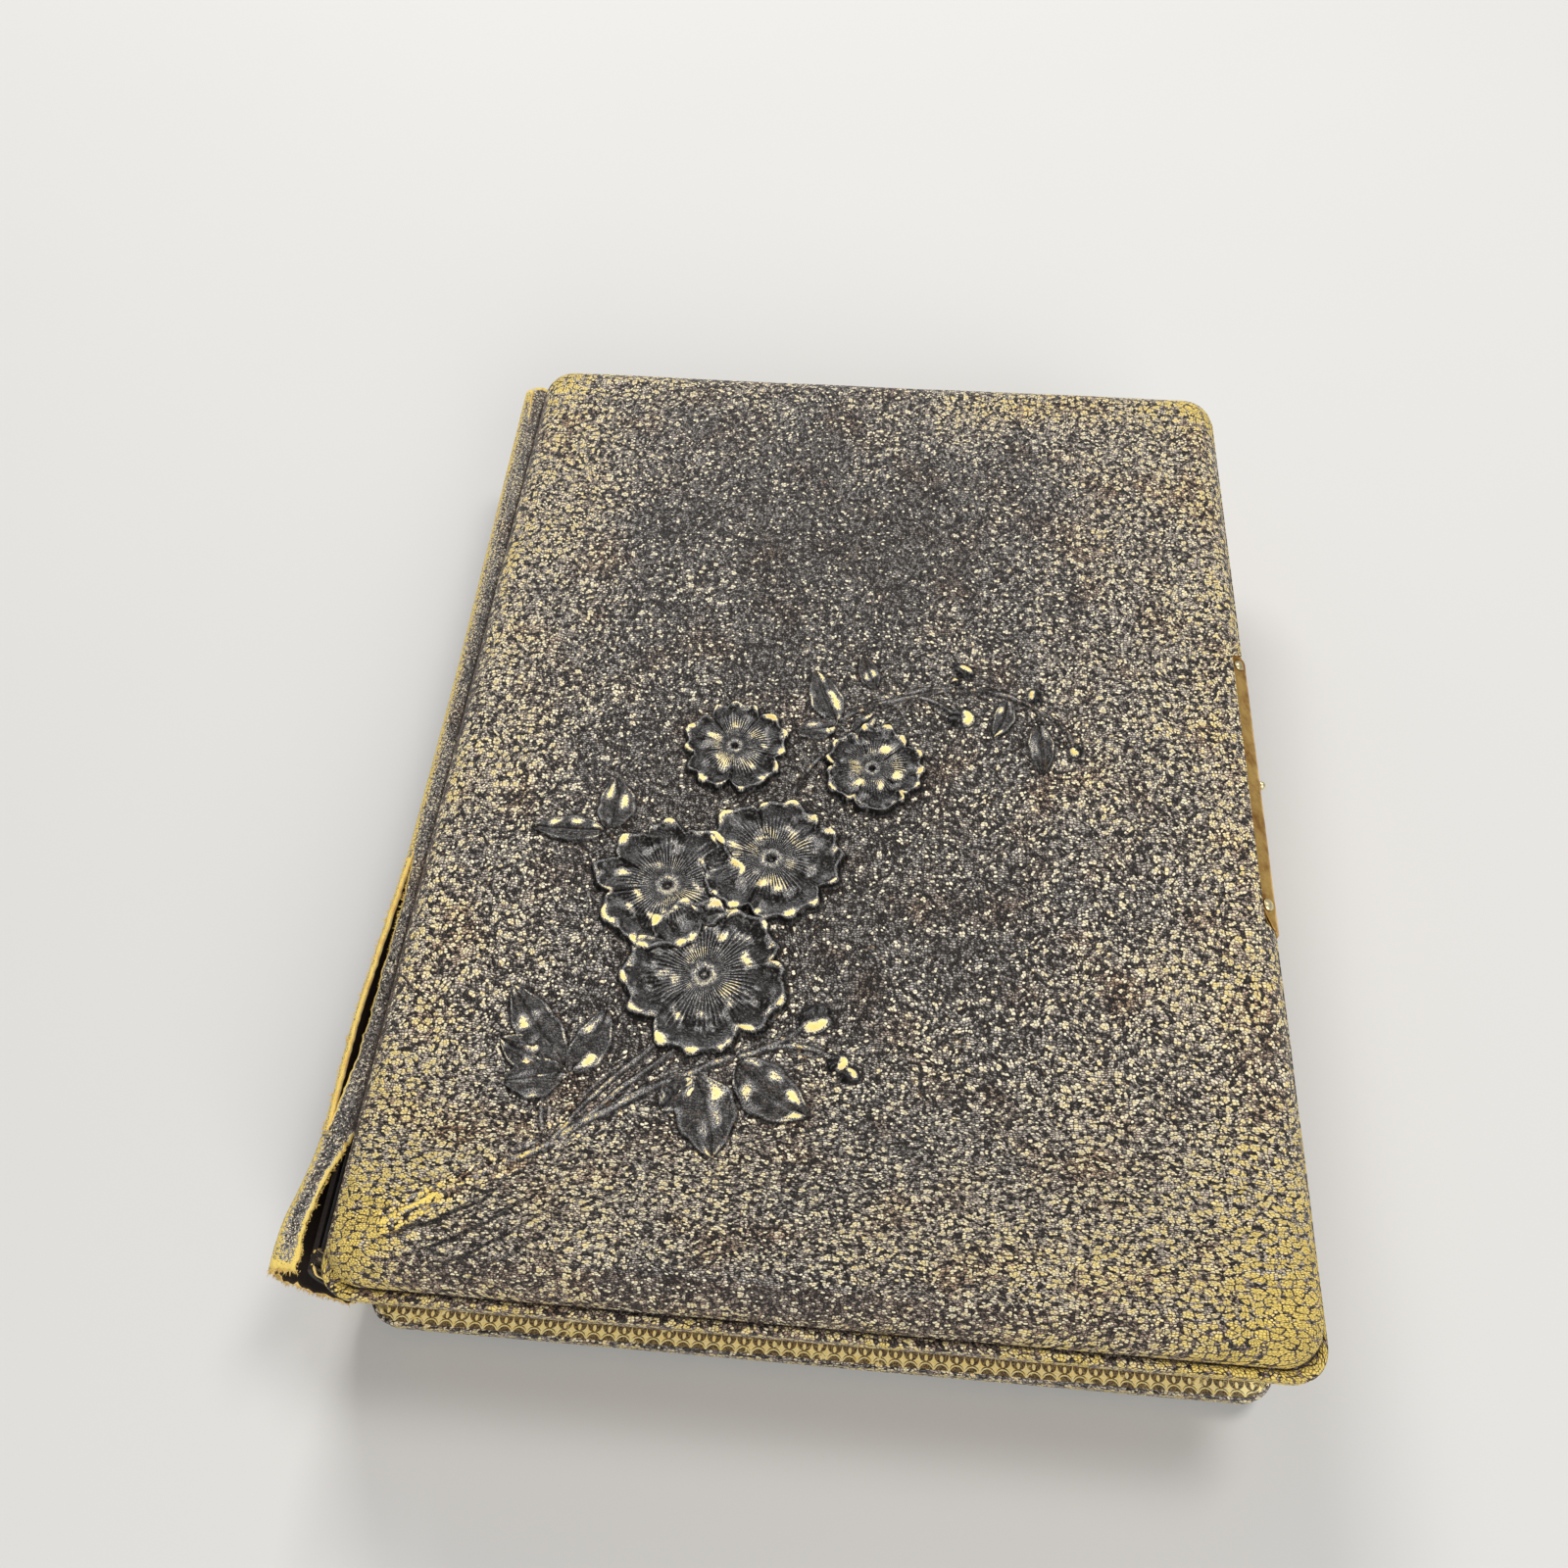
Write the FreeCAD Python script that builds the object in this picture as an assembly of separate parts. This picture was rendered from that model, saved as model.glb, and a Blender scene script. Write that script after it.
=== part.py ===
import FreeCAD, Part
import math
import os

Vec = FreeCAD.Vector

# A photo album lying on its back cover. Millimetres. The origin is the middle of the
# back cover's resting face, +X runs to the fore edge, +Y to the head and +Z up.

# Covers
cover_half_width = 102.0
cover_half_length = 135.5
leather = 1.2                 # thickness of the leather
board = 3.6                   # thickness of a cover board
cover_corner = 7.0            # corner radius of both covers
turn_in = 14.0                # width of the leather turned over the boards' edges
lining = 0.9                  # thickness of the paper inside the covers
lining_corner = 1.0

# Heights of the stack
back_pad_rise = 2.5
back_rim_bottom = back_pad_rise
back_rim_top = back_rim_bottom + board + 2 * leather
leaves_bottom = 9.0
leaves_top = 37.2
front_rim_bottom = 37.8
front_rim_top = front_rim_bottom + board + 2 * leather
front_pad_rise = 8.2
front_pad_top = front_rim_top + front_pad_rise

# Padded shapes: inset from the cover's edge on each side
front_pad_inset = {"spine": 1.0, "fore": 1.3, "tail": 2.2, "head": 1.5}
back_pad_inset = {"spine": 4.2, "fore": 4.2, "tail": 4.2, "head": 4.2}
pad_corner = 9.0
front_shoulder = 8.0
back_shoulder = 2.2

# Block of leaves
leaf_count = 15
leaf_gap = 0.25
leaf_gap_depth = 3.0
leaves_spine_x = -103.5
leaves_fore_x = 96.0
leaves_half_length = 129.5
leaf_corner = 4.0
window_size = (98.0, 140.0)
window_depth = 0.9
backing = 1.4
cloth = 0.4
cloth_glued = 9.0             # how far the cloth hinges are glued down the backing
joint_clear = 0.4             # gap between a cover's spine edge and the joint leather

# Spine leather, seen along Y: (y, inner end of the front strip, outer face of the ridge)
spine_stations = [
    (131.0, -102.4, -109.4),
    (105.0, -102.4, -109.0),
    (20.0, -102.4, -107.7),
    (-34.0, -102.4, -107.7),
    (-76.0, -102.4, -110.2),
    (-101.0, -102.4, -109.9),
    (-110.0, -104.4, -110.6),
    (-119.0, -107.4, -113.0),
    (-126.0, -107.6, -114.3),
    (-131.0, -106.2, -113.2),
]
spine_bulge = 3.0             # how far the spine swells beyond its ridge
spine_foot_x = -108.2
strip_top = 43.2
strip_bottom = 2.6
ridge_round = 2.6

# Spine lining: top and bottom ends, and the middle of its outer face
liner_end_x = -106.0
liner_mid_x = -108.9
liner_ends_z = (5.5, 39.5)
liner_thickness = 1.0
liner_half_length = 130.0

# Tears in the spine leather, seen from above: the split beside the ridge runs between two ends and
# bows to each side, and a short notch opens at the head
split_ends = ((-106.3, -34.0), (-107.7, -103.0))
split_bows = ((-108.5, -76.0), (-106.2, -76.0))
head_notch = [(-107.6, 132.0), (-105.9, 132.0), (-106.8, 116.0)]
tear_depth = 4.0

# Clasp
sheet_brass = 0.8
seat_gap = 0.1                # play between the front plate and its seat in the leather
front_plate_span = (-39.0, 40.0)
front_plate_path = [(98.0, 45.8), (101.7, 43.6), (102.5, 42.4), (102.5, 38.4)]
front_plate_tip = 4.0         # radius of the rounded tip at the head
front_plate_sweep = (4.6, 7.4)  # how far the tail end is swept out, and over what length
front_pin_y = (37.8, -32.3)
front_pin_x = 100.3
knob_y = 3.6
knob_z = 40.2
knob_radius = 1.1
knob_stalk = (0.7, 0.6)       # radius, length
hinge_x = 102.6
hinge_z = 36.4
knuckle_radius = 1.2
pin_radius = 0.5
running_gap = 0.05
knuckle_ends = (4.5, 9.5)     # plate knuckles, from the middle out
hasp_half_width = 9.0
hasp_path = [(102.6, 35.3), (103.0, 34.0), (105.3, 31.0), (105.3, 3.6)]
hasp_slot = (7.0, 3.2)        # along Y, along Z
hasp_foot = (4.0, 8.4)        # half width of the foot, height of its slopes
hasp_shoulder = (2.0, 7.0)    # the strap widens between these depths below its top
back_plate_half_length = 38.0
back_plate_path = [(102.5, 8.4), (102.5, 2.1), (98.2, 2.1)]
back_pin_y = (32.0, -32.0)
back_pin_z = 5.5
catch_z = 6.0
catch_half = (2.8, 1.1)       # half sizes along Y and Z
catch_reach = 1.5
catch_bevel = 0.5
pin_shank_radius = 0.6
pin_head_radius = 1.5
pin_head_height = 0.7
pin_length = 5.0
pin_clear = 0.02              # play round a pin in its hole

# Embossed spray: heights above the pad and the layout on it
petal_rise = 1.7
petal_dish = 1.0
leaf_rise = 1.1
stem_rise = 0.7
root_depth = 0.4              # how far the relief is sunk into the leather
relief_sides = 6              # sides of buds, knots and buttons

# Shares of a blossom's reach
heart_radius = 0.35
petal_distance = 0.56         # from the heart to the middle of a petal
petal_radius = 0.46
cup_radii = (0.15, 0.7)       # at the bottom and at the rim
button_radius = 0.1
petal_groove = 0.8            # width of the groove between two petals, in millimetres
leaf_groove = 0.5

# (x, y, reach, directions of the petals), lowest first
blossoms = [
    (-40.4, -42.0, 17.0, (63, 95, 137, 172, 208)),
    (-16.9, -33.2, 16.5, (78, 140, 205, 300, 0)),
    (-29.3, -63.2, 18.5, (105, 188, 270, 345, 45)),
    (-28.8, -2.5, 12.5, (95, 165, 235, 305, 20)),
    (5.5, -6.5, 12.0, (80, 150, 215, 280, 355)),
]
# (base x, base y, tip x, tip y, width)
leaf_shapes = [
    (-4.0, 6.5, -10.3, 22.0, 8.0),
    (-4.0, 5.0, -14.0, 2.5, 6.0),
    (5.0, 17.5, 1.5, 27.5, 5.0),
    (0.0, 3.5, 5.5, 9.5, 4.5),
    (46.0, 9.5, 47.0, -5.0, 6.0),
    (38.5, 16.5, 35.0, 5.0, 5.0),
    (-56.0, -28.0, -57.0, -13.5, 9.0),
    (-57.5, -28.5, -75.0, -28.5, 6.5),
    (-57.5, -87.0, -74.0, -71.0, 9.0),
    (-57.0, -86.4, -71.5, -82.5, 8.0),
    (-56.8, -87.9, -67.0, -93.0, 7.0),
    (-56.0, -88.0, -52.0, -74.0, 7.5),
    (-27.0, -87.0, -22.0, -102.5, 10.0),
    (-28.0, -88.0, -34.0, -96.5, 7.5),
    (-19.0, -83.5, -4.0, -93.0, 9.5),
]
# (start, middle and end of an arc, width)
stems = [
    ((-90.0, -123.0), (-75.0, -113.3), (-56.0, -102.5), 1.5),
    ((-56.0, -102.5), (-40.0, -91.2), (-20.0, -81.5), 1.7),
    ((-20.0, -81.5), (-12.5, -78.6), (-6.0, -73.5), 1.4),
    ((-15.0, -79.5), (-6.0, -78.2), (1.0, -80.7), 1.2),
    ((-57.0, -103.0), (-49.5, -92.5), (-37.5, -79.5), 1.2),
    ((-54.0, -100.5), (-44.5, -91.0), (-33.0, -80.5), 1.2),
    ((-59.5, -101.0), (-60.5, -93.5), (-57.5, -87.0), 1.2),
    ((-30.0, -86.3), (-28.6, -86.8), (-27.0, -87.5), 1.2),
    ((-4.0, 6.5), (5.0, 12.2), (20.0, 17.0), 1.3),
    ((20.0, 17.0), (35.0, 18.6), (48.0, 13.0), 1.3),
    ((48.0, 13.0), (52.8, 8.6), (55.0, 3.0), 1.1),
    ((9.0, 13.9), (16.0, 17.4), (24.0, 19.2), 1.1),
    ((16.0, 15.8), (21.0, 14.2), (26.0, 10.8), 1.1),
    ((-4.0, 0.0), (-9.4, -7.0), (-13.5, -15.0), 1.1),
    ((45.0, 15.0), (46.2, 12.4), (46.0, 9.5), 1.1),
    ((-52.0, -31.0), (-54.5, -30.0), (-57.0, -28.0), 1.3),
]
# (x, y, radius)
buds = [
    (27.0, 10.3, 3.0),
    (27.5, 24.5, 2.2),
    (25.5, 21.0, 1.1),
    (45.5, 18.3, 1.7),
    (55.3, 2.7, 1.6),
    (-3.7, -71.7, 3.4),
    (1.7, -81.2, 2.1),
    (4.2, -83.7, 1.8),
]


def is_upright(edge):
    """True for an edge that runs along Z."""
    ends = [vertex.Point for vertex in edge.Vertexes]
    return len(ends) == 2 and abs(ends[0].x - ends[1].x) + abs(ends[0].y - ends[1].y) < 1e-6


def slab(x0, x1, y0, y1, z0, z1, corner):
    """Flat board with rounded corners."""
    box = Part.makeBox(x1 - x0, y1 - y0, z1 - z0, Vec(x0, y0, z0))
    return box.makeFillet(corner, [edge for edge in box.Edges if is_upright(edge)])


def cushion(inset, shrink, z0, z1, corner, shoulder, round_z):
    """Padded block inside a cover's outline, rounded over along its face at round_z."""
    body = slab(-cover_half_width + inset["spine"] + shrink, cover_half_width - inset["fore"] - shrink,
                -cover_half_length + inset["tail"] + shrink, cover_half_length - inset["head"] - shrink,
                z0, z1, corner)
    loop = [edge for edge in body.Edges
            if all(abs(vertex.Z - round_z) < 1e-6 for vertex in edge.Vertexes)]
    return body.makeFillet(shoulder, loop)


def cover_slab(shrink, z0, z1, corner):
    """Slab of a cover's outline, smaller all round by shrink."""
    return slab(-cover_half_width + shrink, cover_half_width - shrink,
                -cover_half_length + shrink, cover_half_length - shrink, z0, z1, corner)


def lining_slab(z0, z1):
    """The field between the turn-ins, which reaches the board's spine edge."""
    return slab(-cover_half_width + leather, cover_half_width - turn_in,
                -cover_half_length + turn_in, cover_half_length - turn_in, z0, z1, lining_corner)


def prism_along_y(outline, y0, y1):
    """Prism of an X, Z outline between two values of y."""
    corners = [Vec(x, y0, z) for x, z in outline]
    face = Part.Face(Part.makePolygon(corners + corners[:1]))
    return face.extrude(Vec(0, y1 - y0, 0))


def band(path, thickness):
    """Outline of a strip of even thickness whose middle follows a path of straight runs."""
    sides = ([], [])
    for i, (px, pz) in enumerate(path):
        before = path[max(i - 1, 0)]
        after = path[min(i + 1, len(path) - 1)]
        runs = [(px - before[0], pz - before[1]), (after[0] - px, after[1] - pz)]
        units = [(a / math.hypot(a, b), b / math.hypot(a, b)) for a, b in runs if a or b]
        mean_x = sum(unit[0] for unit in units)
        mean_z = sum(unit[1] for unit in units)
        size = math.hypot(mean_x, mean_z)
        across = (-mean_z / size, mean_x / size)
        mitre = 1.0 / (across[1] * units[0][0] - across[0] * units[0][1])
        for side, sign in zip(sides, (0.5, -0.5)):
            reach = sign * thickness * mitre
            side.append((px + reach * across[0], pz + reach * across[1]))
    return sides[0] + sides[1][::-1]


def arc(a, b, c):
    """Edge of the arc through three points."""
    return Part.Arc(a, b, c).toShape()


# ---- embossed spray -------------------------------------------------------------------

def faceted_post(foot, radius, height):
    """Upright prism with even sides, which keeps the relief light."""
    turns = [2 * math.pi * i / relief_sides for i in range(relief_sides)]
    corners = [foot + Vec(radius * math.cos(turn), radius * math.sin(turn), 0) for turn in turns]
    return Part.Face(Part.makePolygon(corners + corners[:1])).extrude(Vec(0, 0, height))


def petal_discs(x, y, reach, directions, z0, height):
    """One upright disc for the heart of a blossom and one for each petal."""
    discs = [Part.makeCylinder(heart_radius * reach, height, Vec(x, y, z0))]
    for direction in directions:
        angle = math.radians(direction)
        away = petal_distance * reach
        middle = Vec(x + away * math.cos(angle), y + away * math.sin(angle), z0)
        discs.append(Part.makeCylinder(petal_radius * reach, height, middle))
    return discs


def blossom(x, y, reach, directions):
    """Petals round a cup inside a raised rim, parted by grooves, with a button in the middle."""
    z0 = front_pad_top - root_depth
    top = front_pad_top + petal_rise
    discs = petal_discs(x, y, reach, directions, z0, root_depth + petal_rise)
    flower = discs[0].multiFuse(discs[1:])
    low, high = cup_radii
    cup = Part.makeCone(low * reach, high * reach, petal_dish, Vec(x, y, top - petal_dish))
    flower = flower.cut(cup)
    ordered = sorted(direction % 360 for direction in directions)
    for here, after in zip(ordered, ordered[1:] + [ordered[0] + 360]):
        if after - here < 90:
            groove = Part.makeBox(0.6 * reach, petal_groove, petal_rise,
                                  Vec(0.25 * reach, -petal_groove / 2, 0))
            groove.rotate(Vec(0, 0, 0), Vec(0, 0, 1), (here + after) / 2)
            groove.translate(Vec(x, y, top - petal_dish - 0.2))
            flower = flower.cut(groove)
    button = faceted_post(Vec(x, y, z0), button_radius * reach, root_depth + petal_rise - 0.3)
    return flower.fuse(button)


def leaf(x, y, tip_x, tip_y, width):
    """Pointed leaf between two arcs, with a groove for its midrib."""
    z0 = front_pad_top - root_depth
    base = Vec(x, y, z0)
    tip = Vec(tip_x, tip_y, z0)
    run = tip - base
    across = Vec(-run.y, run.x, 0)
    across.normalize()
    middle = base + run * 0.45
    outline = Part.Wire([arc(base, middle + across * (width / 2), tip),
                         arc(tip, middle - across * (width / 2), base)])
    body = Part.Face(outline).extrude(Vec(0, 0, root_depth + leaf_rise))
    groove = Part.makeBox(run.Length * 0.8, leaf_groove, leaf_rise, Vec(0, -leaf_groove / 2, 0))
    groove.rotate(Vec(0, 0, 0), Vec(0, 0, 1), math.degrees(math.atan2(run.y, run.x)))
    groove.translate(base + run * 0.1 + Vec(0, 0, root_depth + 0.5 * leaf_rise))
    return body.cut(groove)


def stem(start, middle, end, width):
    """Raised band that follows an arc, with a knot at each end."""
    z0 = front_pad_top - root_depth
    points = [Vec(p[0], p[1], z0) for p in (start, middle, end)]
    centre = arc(*points).Curve.Center
    sides = []
    for reach in (width / 2, -width / 2):
        side = []
        for point in points:
            outward = point - centre
            outward.normalize()
            side.append(point + outward * reach)
        sides.append(side)
    outer, inner = sides
    outline = Part.Wire([arc(*outer), Part.makeLine(outer[2], inner[2]),
                         arc(*inner[::-1]), Part.makeLine(inner[0], outer[0])])
    height = root_depth + stem_rise
    knots = [faceted_post(point, 0.55 * width, height) for point in (points[0], points[2])]
    return Part.Face(outline).extrude(Vec(0, 0, height)).multiFuse(knots)


def bud(x, y, radius):
    """Low bud."""
    return faceted_post(Vec(x, y, front_pad_top - root_depth), radius, root_depth + leaf_rise)


def spray():
    """The whole embossed spray, each layer laid over the ones before it."""
    lines = [stem(*numbers) for numbers in stems]
    relief = lines[0].multiFuse(lines[1:])
    tall = root_depth + petal_rise + leaf_rise
    for numbers in leaf_shapes:
        shape = leaf(*numbers)
        relief = relief.cut(shape).fuse(shape)
    for numbers in buds:
        x, y, radius = numbers
        room = faceted_post(Vec(x, y, front_pad_top - root_depth), radius, tall)
        relief = relief.cut(room).fuse(bud(*numbers))
    for numbers in blossoms:
        discs = petal_discs(*numbers, front_pad_top - root_depth, tall)
        relief = relief.cut(discs[0].multiFuse(discs[1:])).fuse(blossom(*numbers))
    return relief


# ---- covers ---------------------------------------------------------------------------

def plate_seat(depth):
    """Room along the fore edge of the front pad, depth below the clasp plate's inner face."""
    both_faces = band(front_plate_path, sheet_brass + 2 * (seat_gap + depth))
    foot, bend, shoulder, edge = both_faces[4:]
    far_x = cover_half_width + 5
    wall_x = edge[0] - seat_gap
    outline = [(wall_x, front_pad_top), (wall_x, edge[1]), edge, shoulder, bend,
               (far_x, bend[1]), (far_x, front_pad_top)]
    ends = 3 * seat_gap + depth
    return prism_along_y(outline, front_plate_span[0] - ends, front_plate_span[1] + ends)


def front_pin_solids(clearance):
    """The front plate's two pins, square to its sloping leg."""
    (x0, z0), (x1, z1) = front_plate_path[:2]
    slope = (z1 - z0) / (x1 - x0)
    normal = Vec(-slope, 0, 1)
    normal.normalize()
    pins = []
    for y in front_pin_y:
        seat = Vec(front_pin_x, y, z0 + slope * (front_pin_x - x0)) + normal * (sheet_brass / 2)
        shank = Part.makeCylinder(pin_shank_radius + clearance, pin_length, seat, normal * -1)
        head = domed_head(seat, normal)
        pins.append(shank.fuse(head))
    return pins


def back_pin_solids(clearance):
    """The back plate's two pins, driven into the fore edge."""
    pins = []
    for y in back_pin_y:
        seat = Vec(back_plate_path[0][0] + sheet_brass / 2, y, back_pin_z)
        shank = Part.makeCylinder(pin_shank_radius + clearance, pin_length, seat, Vec(-1, 0, 0))
        pins.append(shank.fuse(domed_head(seat, Vec(1, 0, 0))))
    return pins


def domed_head(seat, normal):
    """Low round head of a pin, standing on seat."""
    ball = (pin_head_radius ** 2 + pin_head_height ** 2) / (2 * pin_head_height)
    sphere = Part.makeSphere(ball, seat + normal * (pin_head_height - ball))
    return sphere.common(Part.makeCylinder(pin_head_radius, pin_head_height, seat, normal))


def front_cover():
    """Front board, padding, leather and lining."""
    board_bottom = front_rim_bottom + leather
    board_top = board_bottom + board
    core = cover_slab(leather, board_bottom, board_top, cover_corner - leather)
    padding = cushion(front_pad_inset, leather, board_top, front_pad_top - leather,
                      pad_corner - leather, front_shoulder - leather, front_pad_top - leather)
    padding = padding.cut(plate_seat(leather))
    rim = cover_slab(0, front_rim_bottom, front_rim_top, cover_corner)
    pad = cushion(front_pad_inset, 0, front_rim_top - 1, front_pad_top,
                  pad_corner, front_shoulder, front_pad_top)
    skin = rim.fuse(pad).fuse(spray()).removeSplitter()
    skin = skin.cut(plate_seat(0)).cut(core).cut(padding)
    skin = skin.cut(lining_slab(front_rim_bottom, board_bottom))
    paper = lining_slab(board_bottom - lining, board_bottom)
    holes = front_pin_solids(pin_clear)
    return {"front_board": core.cut(holes), "front_padding": padding.cut(holes),
            "front_leather": skin.cut(holes), "front_lining": paper}


def back_cover():
    """Back board, padding, leather and lining."""
    board_bottom = back_rim_bottom + leather
    board_top = board_bottom + board
    core = cover_slab(leather, board_bottom, board_top, cover_corner - leather)
    padding = cushion(back_pad_inset, leather, leather, board_bottom,
                      pad_corner - leather, back_shoulder - leather, leather)
    rim = cover_slab(0, back_rim_bottom, back_rim_top, cover_corner)
    pad = cushion(back_pad_inset, 0, 0, back_rim_bottom + 1, pad_corner, back_shoulder, 0)
    skin = rim.fuse(pad).removeSplitter().cut(core).cut(padding)
    skin = skin.cut(lining_slab(board_top, back_rim_top))
    paper = lining_slab(board_top, board_top + lining)
    holes = back_pin_solids(pin_clear)
    return {"back_board": core.cut(holes), "back_padding": padding,
            "back_leather": skin.cut(holes), "back_lining": paper}


# ---- spine and block ------------------------------------------------------------------

def spine_section(y, strip_end, ridge_x):
    """Closed outline of the spine leather at one y: strip, ridge, swell, foot and strip."""
    mid_z = (strip_top + strip_bottom) / 2
    bulge_x = ridge_x - spine_bulge
    cut = 0.3 * ridge_round
    loops = []
    for inset in (0.0, leather):
        loops.append([
            Vec(strip_end, y, strip_top - inset),
            Vec(ridge_x + ridge_round, y, strip_top - inset),
            Vec(ridge_x + cut + 0.7 * inset, y, strip_top - cut - 0.7 * inset),
            Vec(ridge_x + inset, y, strip_top - ridge_round),
            Vec(bulge_x + inset, y, mid_z),
            Vec(spine_foot_x + inset, y, strip_bottom + ridge_round),
            Vec(spine_foot_x + cut + 0.7 * inset, y, strip_bottom + cut + 0.7 * inset),
            Vec(spine_foot_x + ridge_round, y, strip_bottom + inset),
            Vec(-cover_half_width - joint_clear, y, strip_bottom + inset),
        ])
    edges = []
    for points in (loops[0], loops[1][::-1]):
        edges += [Part.makeLine(points[0], points[1]), arc(*points[1:4]), arc(*points[3:6]),
                  arc(*points[5:8]), Part.makeLine(points[7], points[8])]
        other = loops[1][-1] if points is loops[0] else loops[0][0]
        edges.append(Part.makeLine(points[8], other))
    return Part.Wire(edges)


def joint_tears():
    """Split beside the ridge, from mid-height to the tail, and the short split at the head."""
    low = strip_top - tear_depth
    start, end = [Vec(x, y, low) for x, y in split_ends]
    outer, inner = [Vec(x, y, low) for x, y in split_bows]
    split = Part.Wire([arc(start, outer, end), arc(end, inner, start)])
    notch = Part.makePolygon([Vec(x, y, low) for x, y in head_notch + head_notch[:1]])
    return [Part.Face(wire).extrude(Vec(0, 0, 1.5 * tear_depth)) for wire in (split, notch)]


def spine():
    """Spine leather with its tears, and the stiff lining inside it."""
    wires = [spine_section(*station) for station in spine_stations]
    skin = Part.makeLoft(wires, True, True).cut(joint_tears())
    low, high = liner_ends_z
    middle = (low + high) / 2
    y0 = -liner_half_length
    outer = [Vec(liner_end_x, y0, low), Vec(liner_mid_x, y0, middle), Vec(liner_end_x, y0, high)]
    inner = [point + Vec(liner_thickness, 0, 0) for point in outer]
    outline = Part.Wire([arc(*outer), Part.makeLine(outer[2], inner[2]),
                         arc(*inner[::-1]), Part.makeLine(inner[0], outer[0])])
    liner = Part.Face(outline).extrude(Vec(0, 2 * liner_half_length, 0))
    return {"spine_leather": skin, "spine_liner": liner}


def block():
    """Card leaves as one solid with a groove between neighbours, their backing and cloth hinges."""
    thickness = (leaves_top - leaves_bottom - (leaf_count - 1) * leaf_gap) / leaf_count
    sheets = []
    for i in range(leaf_count):
        z0 = leaves_bottom + i * (thickness + leaf_gap)
        sheets.append(slab(leaves_spine_x, leaves_fore_x, -leaves_half_length, leaves_half_length,
                           z0, z0 + thickness, leaf_corner))
    core = slab(leaves_spine_x + leaf_gap_depth, leaves_fore_x - leaf_gap_depth,
                leaf_gap_depth - leaves_half_length, leaves_half_length - leaf_gap_depth,
                leaves_bottom + thickness / 2, leaves_top - thickness / 2, leaf_corner)
    leaves = core.multiFuse(sheets).removeSplitter()
    middle_x = (leaves_spine_x + leaves_fore_x) / 2
    leaves = leaves.cut(slab(middle_x - window_size[0] / 2, middle_x + window_size[0] / 2,
                             -window_size[1] / 2, window_size[1] / 2,
                             leaves_top - window_depth, leaves_top + 1, 3.0))
    back_x = leaves_spine_x - backing
    straight = leaves_half_length - leaf_corner
    glued = Part.makeBox(backing, 2 * straight, leaves_top - leaves_bottom - 0.6,
                         Vec(back_x, -straight, leaves_bottom + 0.3))
    cloth_x = back_x - cloth / 2
    strip_end = -cover_half_width - joint_clear
    over = leaves_top + 0.3
    under = leaves_bottom - 0.25
    turn_x = cloth_x + 0.7
    turned_in = {
        "front_hinge_cloth": [(cloth_x, leaves_top - cloth_glued), (cloth_x, leaves_top - 0.2),
                              (turn_x, over), (strip_end, over)],
        "back_hinge_cloth": [(cloth_x, leaves_bottom + cloth_glued), (cloth_x, leaves_bottom + 0.2),
                             (turn_x, under), (strip_end, under)],
    }
    parts = {"leaves": leaves, "block_backing": glued}
    for name, path in turned_in.items():
        parts[name] = prism_along_y(band(path, cloth), -straight, straight)
    return parts


# ---- clasp ----------------------------------------------------------------------------

def hinge_rod(y0, y1, radius):
    """Round rod on the hasp's hinge line."""
    return Part.makeCylinder(radius, y1 - y0, Vec(hinge_x, y0, hinge_z), Vec(0, 1, 0))


def front_clasp():
    """Front plate with its knuckles, pins and knob."""
    tail_y, head_y = front_plate_span
    plate = prism_along_y(band(front_plate_path, sheet_brass), tail_y, head_y)
    # the sloping leg is drawn in to a rounded tip at the head and swept out to a lip at the tail
    edge_x = front_plate_path[0][0] - 1.7
    base = front_rim_bottom
    deep = 3 * front_plate_tip
    tip_y = head_y - front_plate_tip
    blank = Part.makeCylinder(front_plate_tip, deep, Vec(edge_x + front_plate_tip, tip_y, base))
    blank = blank.fuse(Part.makeBox(deep, tip_y - tail_y, deep, Vec(edge_x, tail_y, base)))
    plate = plate.common(blank)
    sweep_x, sweep_y = front_plate_sweep
    corner = Vec(edge_x, tail_y, base)
    swept = Part.makePolygon([corner, corner + Vec(sweep_x, 0, 0), corner + Vec(0, sweep_y, 0), corner])
    plate = plate.cut(Part.Face(swept).extrude(Vec(0, 0, deep)))
    near, far = knuckle_ends
    foot_x, foot_z = front_plate_path[3]
    for y0, y1 in ((-far, -near), (near, far)):
        leg = Part.makeBox(sheet_brass, y1 - y0, foot_z + 0.2 - hinge_z,
                           Vec(foot_x - sheet_brass / 2, y0, hinge_z))
        plate = plate.fuse(leg).fuse(hinge_rod(y0, y1, knuckle_radius))
        plate = plate.cut(hinge_rod(y0, y1, pin_radius))
    plate = plate.cut(front_pin_solids(pin_clear))
    foot = Vec(foot_x + sheet_brass / 2, knob_y, knob_z)
    stalk_radius, stalk_length = knob_stalk
    knob = Part.makeCylinder(stalk_radius, stalk_length, foot, Vec(1, 0, 0))
    knob = knob.fuse(Part.makeSphere(knob_radius, foot + Vec(1, 0, 0))).cut(plate)
    hinge_pin = hinge_rod(-far - 0.3, far + 0.3, pin_radius - 0.01)
    return {"clasp_front_plate": plate, "clasp_front_pins": Part.makeCompound(front_pin_solids(0)),
            "clasp_knob": knob, "clasp_hinge_pin": hinge_pin}


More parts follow.
